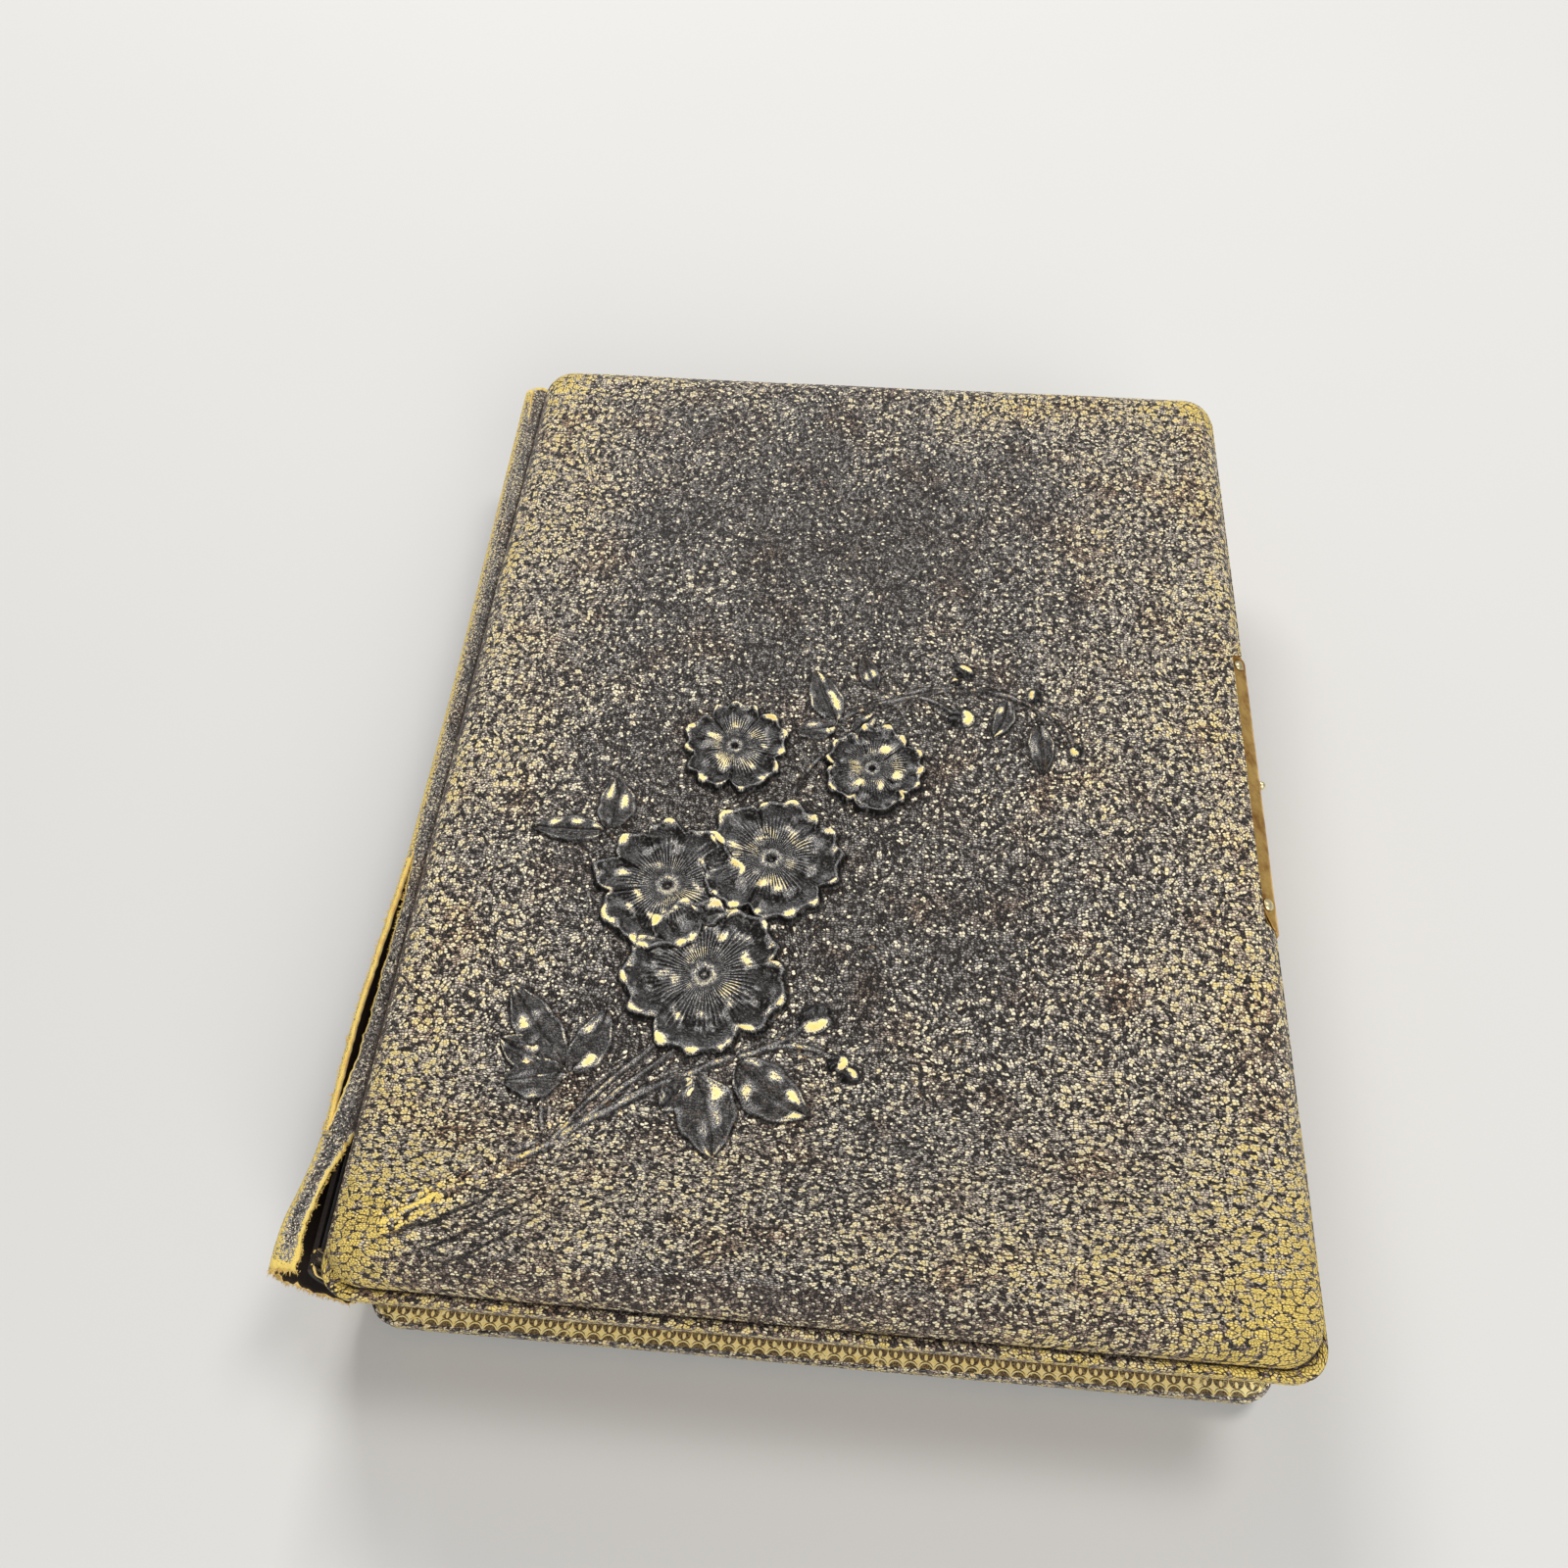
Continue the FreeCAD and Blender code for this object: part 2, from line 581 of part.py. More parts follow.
def hasp():
    """Hanging hasp: knuckle, stepped strap with a shaped foot, and the slot that takes the catch."""
    half_knuckle = knuckle_ends[0] - 0.3
    strap = prism_along_y(band(hasp_path, sheet_brass), -hasp_half_width, hasp_half_width)
    top = hasp_path[0][1]
    low = hasp_path[-1][1]
    left = hasp_path[0][0] - 2
    foot_half, foot_height = hasp_foot
    neck, wide = hasp_shoulder
    side = [(foot_half, low - 0.4), (hasp_half_width, low - 0.4 + foot_height),
            (hasp_half_width, top - wide), (half_knuckle, top - neck), (half_knuckle, top + 2)]
    corners = [Vec(left, y, z) for y, z in side] + [Vec(left, -y, z) for y, z in side[::-1]]
    blank = Part.Face(Part.makePolygon(corners + corners[:1])).extrude(Vec(8, 0, 0))
    strap = strap.common(blank).fuse(hinge_rod(-half_knuckle, half_knuckle, knuckle_radius))
    strap = strap.cut(hinge_rod(-half_knuckle, half_knuckle, pin_radius + running_gap))
    slot_y, slot_z = hasp_slot
    slot = Part.makeBox(8, slot_y, slot_z, Vec(left, -slot_y / 2, catch_z - slot_z / 2))
    return {"clasp_hasp": strap.cut(slot)}


def back_clasp():
    """Back plate round the fore edge, its pins and the catch."""
    half = back_plate_half_length
    plate = prism_along_y(band(back_plate_path, sheet_brass), -half, half)
    plate = plate.cut(back_pin_solids(pin_clear))
    half_y, half_z = catch_half
    face_x = back_plate_path[0][0] + sheet_brass / 2
    nose_x = face_x + catch_reach
    catch = Part.makeBox(catch_reach, 2 * half_y, 2 * half_z, Vec(face_x, -half_y, catch_z - half_z))
    nose = [edge for edge in catch.Edges
            if all(abs(vertex.X - nose_x) < 1e-6 for vertex in edge.Vertexes)]
    catch = catch.makeChamfer(catch_bevel, nose)
    return {"clasp_back_plate": plate, "clasp_catch": catch,
            "clasp_back_pins": Part.makeCompound(back_pin_solids(0))}


def main():
    os.makedirs("parts", exist_ok=True)
    parts = {}
    for maker in (front_cover, back_cover, spine, block, front_clasp, hasp, back_clasp):
        parts.update(maker())
    for name, shape in parts.items():
        print(name, shape.isValid(), len(shape.Solids), round(shape.Volume, 1))
        shape.exportStep("parts/" + name + ".step")


main()
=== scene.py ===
import bpy
import math
import numpy as np
from mathutils import Euler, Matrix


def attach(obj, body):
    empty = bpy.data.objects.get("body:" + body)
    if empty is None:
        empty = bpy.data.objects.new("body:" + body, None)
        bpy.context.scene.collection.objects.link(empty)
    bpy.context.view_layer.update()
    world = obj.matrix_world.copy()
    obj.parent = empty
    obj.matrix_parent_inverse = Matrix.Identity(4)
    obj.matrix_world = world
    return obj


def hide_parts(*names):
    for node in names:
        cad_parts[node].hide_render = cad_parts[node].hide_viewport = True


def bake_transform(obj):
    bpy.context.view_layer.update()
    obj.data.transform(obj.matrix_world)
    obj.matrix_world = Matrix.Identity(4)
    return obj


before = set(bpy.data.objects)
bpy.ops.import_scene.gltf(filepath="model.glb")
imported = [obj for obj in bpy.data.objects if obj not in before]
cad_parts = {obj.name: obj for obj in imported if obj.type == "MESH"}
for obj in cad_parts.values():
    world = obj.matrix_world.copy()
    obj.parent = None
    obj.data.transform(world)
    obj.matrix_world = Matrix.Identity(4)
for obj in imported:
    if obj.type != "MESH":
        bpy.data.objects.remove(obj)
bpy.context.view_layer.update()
scene = bpy.context.scene
mm = 0.001


# Small tools for arrays and meshes

def unit(value):
    return np.clip(value, 0, 1)


def ease(low, high, value):
    # cubic step: 0 below low, 1 above high, 3t^2 - 2t^3 between
    t = unit((value - low) / (high - low))
    return t * t * (3 - 2 * t)


def bell(value, middle, width):
    # exp of minus the squared distance from the middle, counted in widths
    return np.exp(-((value - middle) / width) ** 2)


def drift(x, y, seed, reach, count=7):
    # smooth noise: a sum of sine waves with random directions, reach is the mean wavelength in mm
    rng = np.random.default_rng(seed)
    total = np.zeros(np.broadcast(x, y).shape)
    for angle, phase, size in zip(rng.uniform(0, np.pi, count), rng.uniform(0, 6.28, count),
                                  rng.uniform(0.6, 1.7, count)):
        k = 2 * np.pi / (reach * size)
        total = total + np.sin(k * (x * np.cos(angle) + y * np.sin(angle)) + phase)
    return total / math.sqrt(count)


def strip(low, high, rows, columns):
    # grid of a long strip: y changes down the rows, s goes from 0 to 1 across them
    return np.meshgrid(np.linspace(low, high, rows), np.linspace(0, 1, columns), indexing="ij")


def place3(x, y, z):
    return np.stack(np.broadcast_arrays(x, y, z), -1)


def buildMesh(name, points, faces, marks=None, smooth=True):
    # points are millimetres, faces is a list of index arrays with one row per face; a worn piece that brings no flat
    # coordinates takes its X and Y
    mesh = bpy.data.meshes.new(name)
    mesh.vertices.add(len(points))
    mesh.vertices.foreach_set("co", (np.asarray(points, float) * mm).ravel())
    flat = np.concatenate([np.asarray(f).ravel() for f in faces])
    sizes = np.concatenate([np.full(len(f), np.asarray(f).shape[1]) for f in faces])
    mesh.loops.add(len(flat))
    mesh.loops.foreach_set("vertex_index", flat.astype(np.int32))
    mesh.polygons.add(len(sizes))
    mesh.polygons.foreach_set("loop_start", (np.cumsum(sizes) - sizes).astype(np.int32))
    mesh.update(calc_edges=True)
    mesh.validate()
    mesh.shade_smooth() if smooth else mesh.shade_flat()
    marks = dict(marks or {})
    if "wear" in marks:
        marks = {"flatX": points[:, 0], "flatY": points[:, 1], **marks}
    for key, values in marks.items():
        layer = mesh.attributes.new(key, "FLOAT", "POINT")
        layer.data.foreach_set("value", np.asarray(values, float).ravel())
    piece = bpy.data.objects.new(name, mesh)
    scene.collection.objects.link(piece)
    return piece


def gridFaces(rows, columns, start=0, closeColumns=False, flip=False):
    # quads over a grid of rows x columns, counted from start
    across = columns if closeColumns else columns - 1
    i, j = np.meshgrid(np.arange(rows - 1), np.arange(across), indexing="ij")
    k = (j + 1) % columns
    quads = np.stack([i * columns + j, (i + 1) * columns + j, (i + 1) * columns + k, i * columns + k], -1)
    quads = quads.reshape(-1, 4) + start
    return quads[:, ::-1] if flip else quads


def tubeFaces(rows, around, flip=False):
    # rings joined by quads, with a face across the first ring and one across the last
    ring = np.arange(around)[::-1] if flip else np.arange(around)
    return [gridFaces(rows, around, closeColumns=True, flip=flip),
            np.stack([ring, ring[::-1] + (rows - 1) * around])]


def gridNormals(points):
    # cross product of the differences along rows and columns, made unit length
    normals = np.cross(np.gradient(points, axis=0), np.gradient(points, axis=1))
    return normals / np.maximum(np.linalg.norm(normals, axis=-1, keepdims=True), 1e-9)


def borderOf(grid):
    # indices round the border of an index grid, along its first row first
    return np.concatenate([grid[0], grid[1:, -1], grid[-1, -2::-1], grid[-2:0:-1, 0]])


def shellParts(points, thickness, marks=None):
    # closed sheet: the grid, its copy pushed back along the normals, and a strip round the border
    rows, columns = points.shape[:2]
    back = points - gridNormals(points) * thickness
    count = rows * columns
    loop = borderOf(np.arange(count).reshape(rows, columns))
    after = np.roll(loop, -1)
    border = np.stack([loop, after, after + count, loop + count], -1)
    faces = [np.concatenate([gridFaces(rows, columns), gridFaces(rows, columns, count, flip=True), border])]
    both = {key: np.concatenate([np.ravel(value)] * 2) for key, value in (marks or {}).items()}
    return np.concatenate([points.reshape(-1, 3), back.reshape(-1, 3)]), faces, both


def joinParts(parts):
    # several (points, faces, marks) become one set of arrays
    points, faces, marks, start = [], [], {}, 0
    for somePoints, someFaces, someMarks in parts:
        points.append(somePoints)
        faces += [np.asarray(f) + start for f in someFaces]
        start += len(somePoints)
        for key, value in someMarks.items():
            marks.setdefault(key, []).append(np.ravel(value))
    return np.concatenate(points), faces, {key: np.concatenate(value) for key, value in marks.items()}


def dress(piece, material, body, slotName, *nodes):
    piece.data.materials.append(material)
    if body:
        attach(piece, body)
    if nodes:
        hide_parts(*nodes)


# Materials

class Signal:
    # a socket that takes plain arithmetic: each sign adds a Math node
    def __init__(self, sheet, socket):
        self.sheet, self.socket = sheet, socket

    def __add__(self, other):
        return self.sheet.math("ADD", self, other)

    def __sub__(self, other):
        return self.sheet.math("SUBTRACT", self, other)

    def __rsub__(self, other):
        return self.sheet.math("SUBTRACT", other, self)

    def __mul__(self, other):
        return self.sheet.math("MULTIPLY", self, other)

    def __truediv__(self, other):
        return self.sheet.math("DIVIDE", self, other)

    def __pow__(self, power):
        return self.sheet.math("POWER", self, power)

    def __abs__(self):
        return self.sheet.math("ABSOLUTE", self)


class NodeSheet:
    # keeps the writing of a node tree short
    def __init__(self, tree):
        self.tree = tree

    def add(self, kind, inputs=None, **settings):
        node = self.tree.nodes.new(kind)
        for key, value in settings.items():
            setattr(node, key, value)
        for key, value in (inputs or {}).items():
            self.put(node.inputs[key], value)
        return node

    def put(self, socket, value):
        value = value.socket if isinstance(value, Signal) else value
        if isinstance(value, bpy.types.NodeSocket):
            self.tree.links.new(value, socket)
        else:
            socket.default_value = colour(value) if isinstance(value, str) else value

    def fill(self, node, **values):
        for key, value in values.items():
            self.put(node.inputs[key.replace("_", " ")], value)

    def take(self, node, *keys):
        found = [Signal(self, node.outputs[key]) for key in keys]
        return found if len(found) > 1 else found[0]

    def math(self, operation, a, b=0, clamp=False):
        return self.take(self.add("ShaderNodeMath", {0: a, 1: b, 2: 0}, operation=operation, use_clamp=clamp), 0)

    def most(self, a, b):
        return self.math("MAXIMUM", a, b)

    def step(self, value, low, high, first=0, last=1):
        # smooth step from first at low to last at high
        inputs = {"Value": value, "From Min": low, "From Max": high, "To Min": first, "To Max": last}
        return self.take(self.add("ShaderNodeMapRange", inputs, interpolation_type="SMOOTHSTEP"), "Result")

    def mix(self, factor, a, b, blend="MIX"):
        node = self.add("ShaderNodeMix", data_type="RGBA", blend_type=blend)
        self.fill(node, Factor=factor, A=a, B=b)
        return self.take(node, "Result")

    def blendValue(self, factor, a, b):
        return self.take(self.add("ShaderNodeMix", {"Factor": factor, "A": a, "B": b}, data_type="FLOAT"), "Result")

    def vector(self, operation, a, b=(0, 0, 0), **more):
        return self.take(self.add("ShaderNodeVectorMath", {0: a, 1: b, **more}, operation=operation), 0)

    def noise(self, vector, scale, detail=3, roughness=0.5, out="Fac"):
        inputs = {"Vector": vector, "Scale": scale, "Detail": detail, "Roughness": roughness}
        return self.take(self.add("ShaderNodeTexNoise", inputs), out)

    def cells(self, vector, scale, randomness, feature, *keys):
        inputs = {"Vector": vector, "Scale": scale, "Randomness": randomness}
        return self.take(self.add("ShaderNodeTexVoronoi", inputs, voronoi_dimensions="2D", feature=feature), *keys)

    def axes(self, vector):
        return self.take(self.add("ShaderNodeSeparateXYZ", {"Vector": vector}), 0, 1, 2)

    def numbers(self, tone):
        return self.take(self.add("ShaderNodeSeparateColor", {"Color": tone}), 0, 1, 2)

    def mark(self, name):
        return self.take(self.add("ShaderNodeAttribute", attribute_name=name), "Fac")

    def finish(self, shader, look, strength, distance):
        # look is colour, roughness and height; the height becomes a bump
        tone, roughness, height = look
        bump = self.add("ShaderNodeBump", {"Strength": strength, "Distance": distance, "Height": height})
        self.fill(shader, Base_Color=tone, Roughness=roughness, Normal=self.take(bump, "Normal"))


def colour(text):
    # sRGB hex to linear light
    parts = [int(text[i:i + 2], 16) / 255 for i in (0, 2, 4)]
    return tuple(p / 12.92 if p <= 0.04045 else ((p + 0.055) / 1.055) ** 2.4 for p in parts) + (1,)


def newGroup(name, **inputs):
    # a vector and the named inputs go in (text is a colour); colour, roughness and height come out
    tree = bpy.data.node_groups.new(name, "ShaderNodeTree")

    def socket(label, kind, way="INPUT"):
        return tree.interface.new_socket(label, in_out=way, socket_type="NodeSocket" + kind)

    socket("Vector", "Vector")
    for label, value in inputs.items():
        isColour = isinstance(value, str)
        made = socket(label.replace("_", " "), "Color" if isColour else "Float")
        made.default_value = colour(value) if isColour else value
    for label, kind in (("Color", "Color"), ("Roughness", "Float"), ("Height", "Float")):
        socket(label, kind, "OUTPUT")
    s = NodeSheet(tree)
    given, out = s.add("NodeGroupInput"), s.add("NodeGroupOutput")
    return tree, s, s.take(given, *range(len(inputs) + 1)), out


def newMaterial(name, **shaderValues):
    material = bpy.data.materials.new(name)
    material.use_nodes = True
    s = NodeSheet(material.node_tree)
    shader = material.node_tree.nodes["Principled BSDF"]
    s.fill(shader, **shaderValues)
    return material, s, shader, s.take(s.add("ShaderNodeTexCoord"), "Object")


def useGroup(s, group, **values):
    node = s.add("ShaderNodeGroup", node_tree=group)
    s.fill(node, **values)
    return s.take(node, "Color", "Roughness", "Height")


leatherLook = {
    "grainsPerMetre": 1550,    # grain of 0.65 mm
    "spotsPerMetre": 400,      # worn spots 2.5 mm apart
    "lengthwise": 0.88,          # grain is longer along X
    "grainRandomness": 0.85,
    "spotRandomness": 0.8,
    # the furrow colour is darker than the grain tops as painted shade
    "furrow": "18110C",
    "blackTop": "29221D",
    # pale grey of the painted highlight on the grain tops, used where the wear is low
    "sheenPale": "F2ECE2",
    "cream": "F8F0DE",
    "brown": "CB9A66",
    "goldDeep": "D8A45A",
    "gold": "FFE076",
    "goldPale": "FFF6DA",
    "goldRim": "755638",
    # near black for grooves and creases: painted shade
    "groove": "080505",
}


def makeLeatherGroup():
    # black grain over golden hide. Each grain has a furrow darkened as painted shade, and a top with a painted
    # highlight of its own strength, lighter on the side toward the head.
    # Worn spots a few millimetres apart take in whole grains as bare lobes; a few grains go bare alone
    look = leatherLook
    tree, s, given, out = newGroup("grainedLeather", Wear=0.2, Smooth=0, Groove=0, Rub=0, Brown=0,
                                   Cell_Size=1)
    place, wear, smoothness, groove, rubAndSheen, brown, size = given
    wander = s.vector("SUBTRACT", s.noise(place, 110, 2, out="Color"), (0.5, 0.5, 0.5))
    bent = s.vector("ADD", place, s.vector("SCALE", wander, Scale=0.0036))
    stretched = s.vector("MULTIPLY", bent, (look["lengthwise"], 1, 1))
    scale, spotScale = size * look["grainsPerMetre"], size * look["spotsPerMetre"]
    edge = s.cells(stretched, scale, look["grainRandomness"], "DISTANCE_TO_EDGE", "Distance")
    toMiddle, shade, middle = s.cells(stretched, scale, look["grainRandomness"], "F1", "Distance", "Color", "Position")
    forSpot, forSheen, forSingle = s.numbers(shade)
    toSpot, spotShade = s.cells(middle, spotScale, look["spotRandomness"], "F1", "Distance", "Color")
    spotEdge = s.cells(stretched, spotScale, look["spotRandomness"], "DISTANCE_TO_EDGE", "Distance")
    spotNumber = s.numbers(spotShade)[0]
    patch = s.noise(middle, 130, 3, 0.6)
    fine = s.noise(bent, 4200, 3, 0.6)
    grit = s.noise(bent, 1500, 2)
    # a grain is bare when it lies within its spot's radius: that grows with the wear, and the spot's number, broad
    # patches and the grain's own number are added
    radius = wear * 0.61 + (spotNumber - 0.5) * s.step(wear, 0.1, 0.6, 0.3, 0.1)
    radius = radius + (s.step(patch, 0.3, 0.7) - 0.5) * 0.12 + (forSpot - 0.5) * 0.14
    over = radius - toSpot
    excess = s.math("MULTIPLY", over, 5, clamp=True)
    # each bare grain is a rounded lobe; within a worn spot only thin lines part the lobes
    rough = (fine - 0.5) * 0.22
    rounded = s.step(toMiddle + rough, 0.66, 0.52)
    parted = s.step(edge + rough * 0.5, 0, 0.08)
    furrow = s.step(spotEdge + rough, 0, 0.15)
    gold = s.most(rounded * parted, excess * 0.5) * s.step(over, -0.01, 0.02) * s.step(furrow, 0, 0.8, 0.05, 1)
    alone = forSingle + wear * 0.28 - 1
    single = s.step(toMiddle + rough, 0.52, 0.38) * s.step(alone, -0.01, 0.01)
    gold = s.most(gold, single * 0.85) * (1 - smoothness * 0.95) * (1 - groove)
    gold = s.most(gold, s.step(rubAndSheen + (fine - 0.5) * 1.1 + (grit - 0.5) * 0.8, 0.50, 0.62))
    # colours of the grain: furrows darker than the tops as painted shade, and a painted highlight on each top's head
    # side that turns cream where the wear is high
    top = s.step(edge, 0.02, 0.16)
    alongY = s.axes(s.vector("SUBTRACT", stretched, middle))[1]
    # painted highlight: the side of each grain toward the head is lighter
    headSideHighlight = s.step(alongY * scale, -0.2, 0.3, 0.3, 1)
    # painted highlight on the grain tops, of each grain's own strength; it grows with the wear and turns cream where
    # the wear is high
    sheenAndWear = s.step(forSheen, 0.2, 0.95) * (headSideHighlight * top) * s.step(fine, 0.25, 0.6, 0.5, 1)
    sheenAndWear = sheenAndWear * s.step(furrow, 0, 1, 0.45, 1)
    sheenAndWear = s.math("MULTIPLY", sheenAndWear, s.step(wear, 0.08, 0.6, 0.8, 2.4), clamp=True)
    sheenAndWearTone = s.mix(s.step(wear, 0.15, 0.5), look["sheenPale"], look["cream"])
    # painted shade: the furrows are darker than the tops
    black = s.mix(sheenAndWear, s.mix(top, look["furrow"], look["blackTop"]), sheenAndWearTone)
    warm = s.step(s.noise(place, 60), 0.46, 0.75, 0, 0.5) + s.step(wear, 0.15, 0.5, 0.1, 0.3)
    black = s.mix(warm, black, look["brown"], "MULTIPLY")
    # pressed leather is plain black with a faint pale stipple
    pressed = s.mix(s.step(grit, 0.56, 0.70, 0, 0.22), s.mix(fine, "080706", "171412"), "B9B2A8")
    black = s.mix(smoothness * 0.95, black, pressed)
    black = s.mix(brown * 0.3, black, s.mix(fine, "33271E", "6E5A48"))
    black = s.mix(brown * 0.7, black, "C08C66", "MULTIPLY")
    # pale grey where rubbed: partly wear, partly a painted highlight on rims, ribs and ridges
    black = s.mix(s.step(rubAndSheen, 0.08, 0.42, 0, 0.8) * s.step(fine, 0.42, 0.6), black, "C9C6C3")
    # bare hide: cream where little is worn, golden where much is
    tone = s.step(wear + rubAndSheen * 0.9 + s.noise(place, 900, 2) * -0.4 + excess * 0.3, 0, 1)
    hide = s.mix(tone, look["goldPale"], look["gold"])
    hide = s.mix(s.step(fine, 0.5, 0.3, 0, 0.4), hide, look["goldDeep"])
    body = s.mix(s.step(gold, 0.3, 0.8), s.mix(s.step(gold, 0, 0.5), black, look["goldRim"]), hide)
    # painted shade: grooves and creases darkened toward near black
    body = s.mix(groove * 0.85, body, look["groove"])
    # gloss: tops of the grain shine, furrows and bare hide do not
    gloss = s.blendValue(top, 0.8, 0.3) + (grit - 0.5) * 0.3
    gloss = s.blendValue(smoothness, gloss, s.step(grit, 0.3, 0.7, 0.24, 0.42))
    # height: domed grain (one minus the square of the way to the edge), nearly level where pressed
    dome = 1 - (1 - s.math("MULTIPLY", edge, 2.6, clamp=True)) ** 2
    grain = dome * 0.6 + fine * 0.2 + s.step(spotEdge, 0, 0.3) * 0.4
    height = s.blendValue(smoothness, grain, fine * 0.12 + dome * 0.08 + 0.8)
    s.fill(out, Color=body, Roughness=s.blendValue(gold, gloss, 0.62), Height=height)
    return tree


def unrolled(s):
    # the skin's flat coordinates, from millimetres to metres
    place = s.take(s.add("ShaderNodeCombineXYZ", {"X": s.mark("flatX"), "Y": s.mark("flatY")}), 0)
    return s.vector("MULTIPLY", place, (mm, mm, mm))


def leatherMaterial(name, cellSize=1, bump=1, shine=0.5):
    material, s, shader, place = newMaterial(name, Specular_IOR_Level=shine)
    # slanting creases 4.4 mm apart where the mark asks for them, drawn as dark lines of painted shade with no relief
    x, y = s.axes(place)[:2]
    across = y * 193 - x * 120 + s.noise(place, 45) * 2.2
    crease = s.step(abs(s.math("FRACT", across) - 0.5), 0.14, 0.04) * s.mark("creased")
    look = useGroup(s, leatherGroup, Vector=unrolled(s), Wear=s.mark("wear"), Smooth=s.mark("smooth"),
                    Groove=s.most(s.mark("groove"), crease), Rub=s.mark("rubAndSheen"), Brown=s.mark("brown"),
                    Cell_Size=cellSize)
    s.finish(shader, look, bump, 0.0005)
    return material


def makeAgedPaperGroup():
    # two noises: broad yellowing and short fibres
    tree, s, given, out = newGroup("agedPaper", Clean="E9DFC6", Stain="C9B184")
    place, clean, stain = given
    fibre = s.noise(s.vector("MULTIPLY", place, (0.35, 1, 1)), 2600)
    body = s.mix(s.step(s.noise(place, 22, 5, 0.6), 0.38, 0.72), clean, stain)
    body = s.mix(s.step(fibre, 0.5, 0.75, 0, 0.25), body, stain)
    body = s.mix(s.step(s.noise(place, 420, 2), 0.72, 0.78, 0, 0.6), body, "8A6A3C")
    s.fill(out, Color=body, Roughness=s.step(fibre, 0.3, 0.7, 0.72, 0.9), Height=fibre)
    return tree


def makeTarnishGroup():
    # bright metal under brown tarnish that gathers in low places, with fine lengthwise scratches
    tree, s, given, out = newGroup("tarnishedMetal", Bright="C99A4A", Dull="8C6230", Dirt=0.4, Groove=0)
    place, bright, dark, dirt, groove = given
    cloud = s.noise(place, 160, 5, 0.62)
    scratch = s.noise(s.vector("MULTIPLY", place, (1, 0.05, 1)), 5200)
    dull = s.most(s.step(cloud + dirt * 0.35, 0.5, 0.85), groove)
    body = s.mix(s.step(scratch, 0.55, 0.8, 0, 0.3), s.mix(dull, bright, dark), "E8C679")
    s.fill(out, Color=body, Roughness=s.step(dull, 0, 1, 0.27, 0.55) + scratch * 0.12, Height=scratch + cloud * 0.8)
    return tree


leatherGroup = makeLeatherGroup()
paperGroup = makeAgedPaperGroup()
tarnishGroup = makeTarnishGroup()


def brassMaterial(name, dirt, bright):
    material, s, shader, place = newMaterial(name, Metallic=0.85)
    look = useGroup(s, tarnishGroup, Vector=place, Dirt=dirt, Bright=bright, Groove=s.mark("groove"))
    s.finish(shader, look, 0.25, 0.00008)
    return material


def paperMaterial(name, clean, stain):
    material, s, shader, place = newMaterial(name)
    s.finish(shader, useGroup(s, paperGroup, Vector=place, Clean=clean, Stain=stain), 0.3, 0.00008)
    return material


def hideEdgeMaterial():
    # torn leather: bare fuzzy hide with darker pits
    material, s, shader, place = newMaterial("tornHide", Sheen_Weight=0.25, Sheen_Roughness=0.6)
    fuzz = s.noise(place, 3200, 4, 0.7)
    body = s.mix(s.step(s.noise(place, 260, 4), 0.4, 0.72), "FAD873", "EBB955")
    body = s.mix(s.step(fuzz, 0.48, 0.32, 0, 0.7), body, "A87634")
    body = s.mix(s.step(fuzz, 0.58, 0.74, 0, 0.7), body, "FFF0B8")
    s.finish(shader, (body, s.step(fuzz, 0.3, 0.7, 0.95, 0.8), fuzz), 0.8, 0.0003)
    return material


coverLeather = leatherMaterial("coverLeather")
spineLeatherLook = leatherMaterial("spineLeatherLook", cellSize=2.4, bump=0.6)
pressedLeather = leatherMaterial("pressedLeather", bump=0.6, shine=0.22)
agedBrass = brassMaterial("agedBrass", 0.4, "E8BE6C")
brightBrass = brassMaterial("brightBrass", 0, "DDD2A6")
liningPaper = paperMaterial("liningPaper", "E6D9BC", "C8AF80")
brownBoard = paperMaterial("brownBoard", "8B6F49", "5E4628")
spineCard = paperMaterial("spineCard", "1E130B", "0F0905")
fleshSide = paperMaterial("fleshSide", "3A2411", "1A0F07")
tornHide = hideEdgeMaterial()
print("materials made")


# Covers

coverSize = {"halfWidth": 102, "halfLength": 135.5, "grid": 1.2}

frontPad = {
    "top": 52,
    "rimTop": 43.8,
    "shoulder": 8,
    "shoulderRings": 15,
    "inset": np.array([1, 1.3, 2.2, 1.5]),       # spine, fore, tail, head
    "corner": 9,
    "rimCorner": 7,
    # bed of the clasp plate: ends along Y, inner and outer X, a point of its floor and the floor's slope
    "seatEnds": (-39.6, 40.6),
    "seatInnerX": 97,
    "seatOuterX": 101.85,
    "seatFloor": (98, 45.25),
    "seatSlope": 0.595,
    "squeeze": (-90, 6, 0.7),       # where the grain starts to narrow, over how many millimetres, and how much
}


def padTop(x, y):
    # height of the padded face: level, a low crown, slow swells and a few shallow dents
    crown = 0.45 * (1 - (x / 100) ** 2) * (1 - (y / 133) ** 2)
    swell = 0.20 * drift(x, y, 5, 70) + 0.07 * drift(x, y, 6, 22)
    dents = -0.35 * bell(x, 92, 16) * bell(y, 18, 34) - 0.2 * bell(x, 30, 30) * bell(y, 84, 9)
    creases = 0.05 * np.sin(y * 1.15 + 1.4 * drift(x, y, 8, 40)) * ease(-86, -104, y)
    return frontPad["top"] + crown + swell + dents + creases


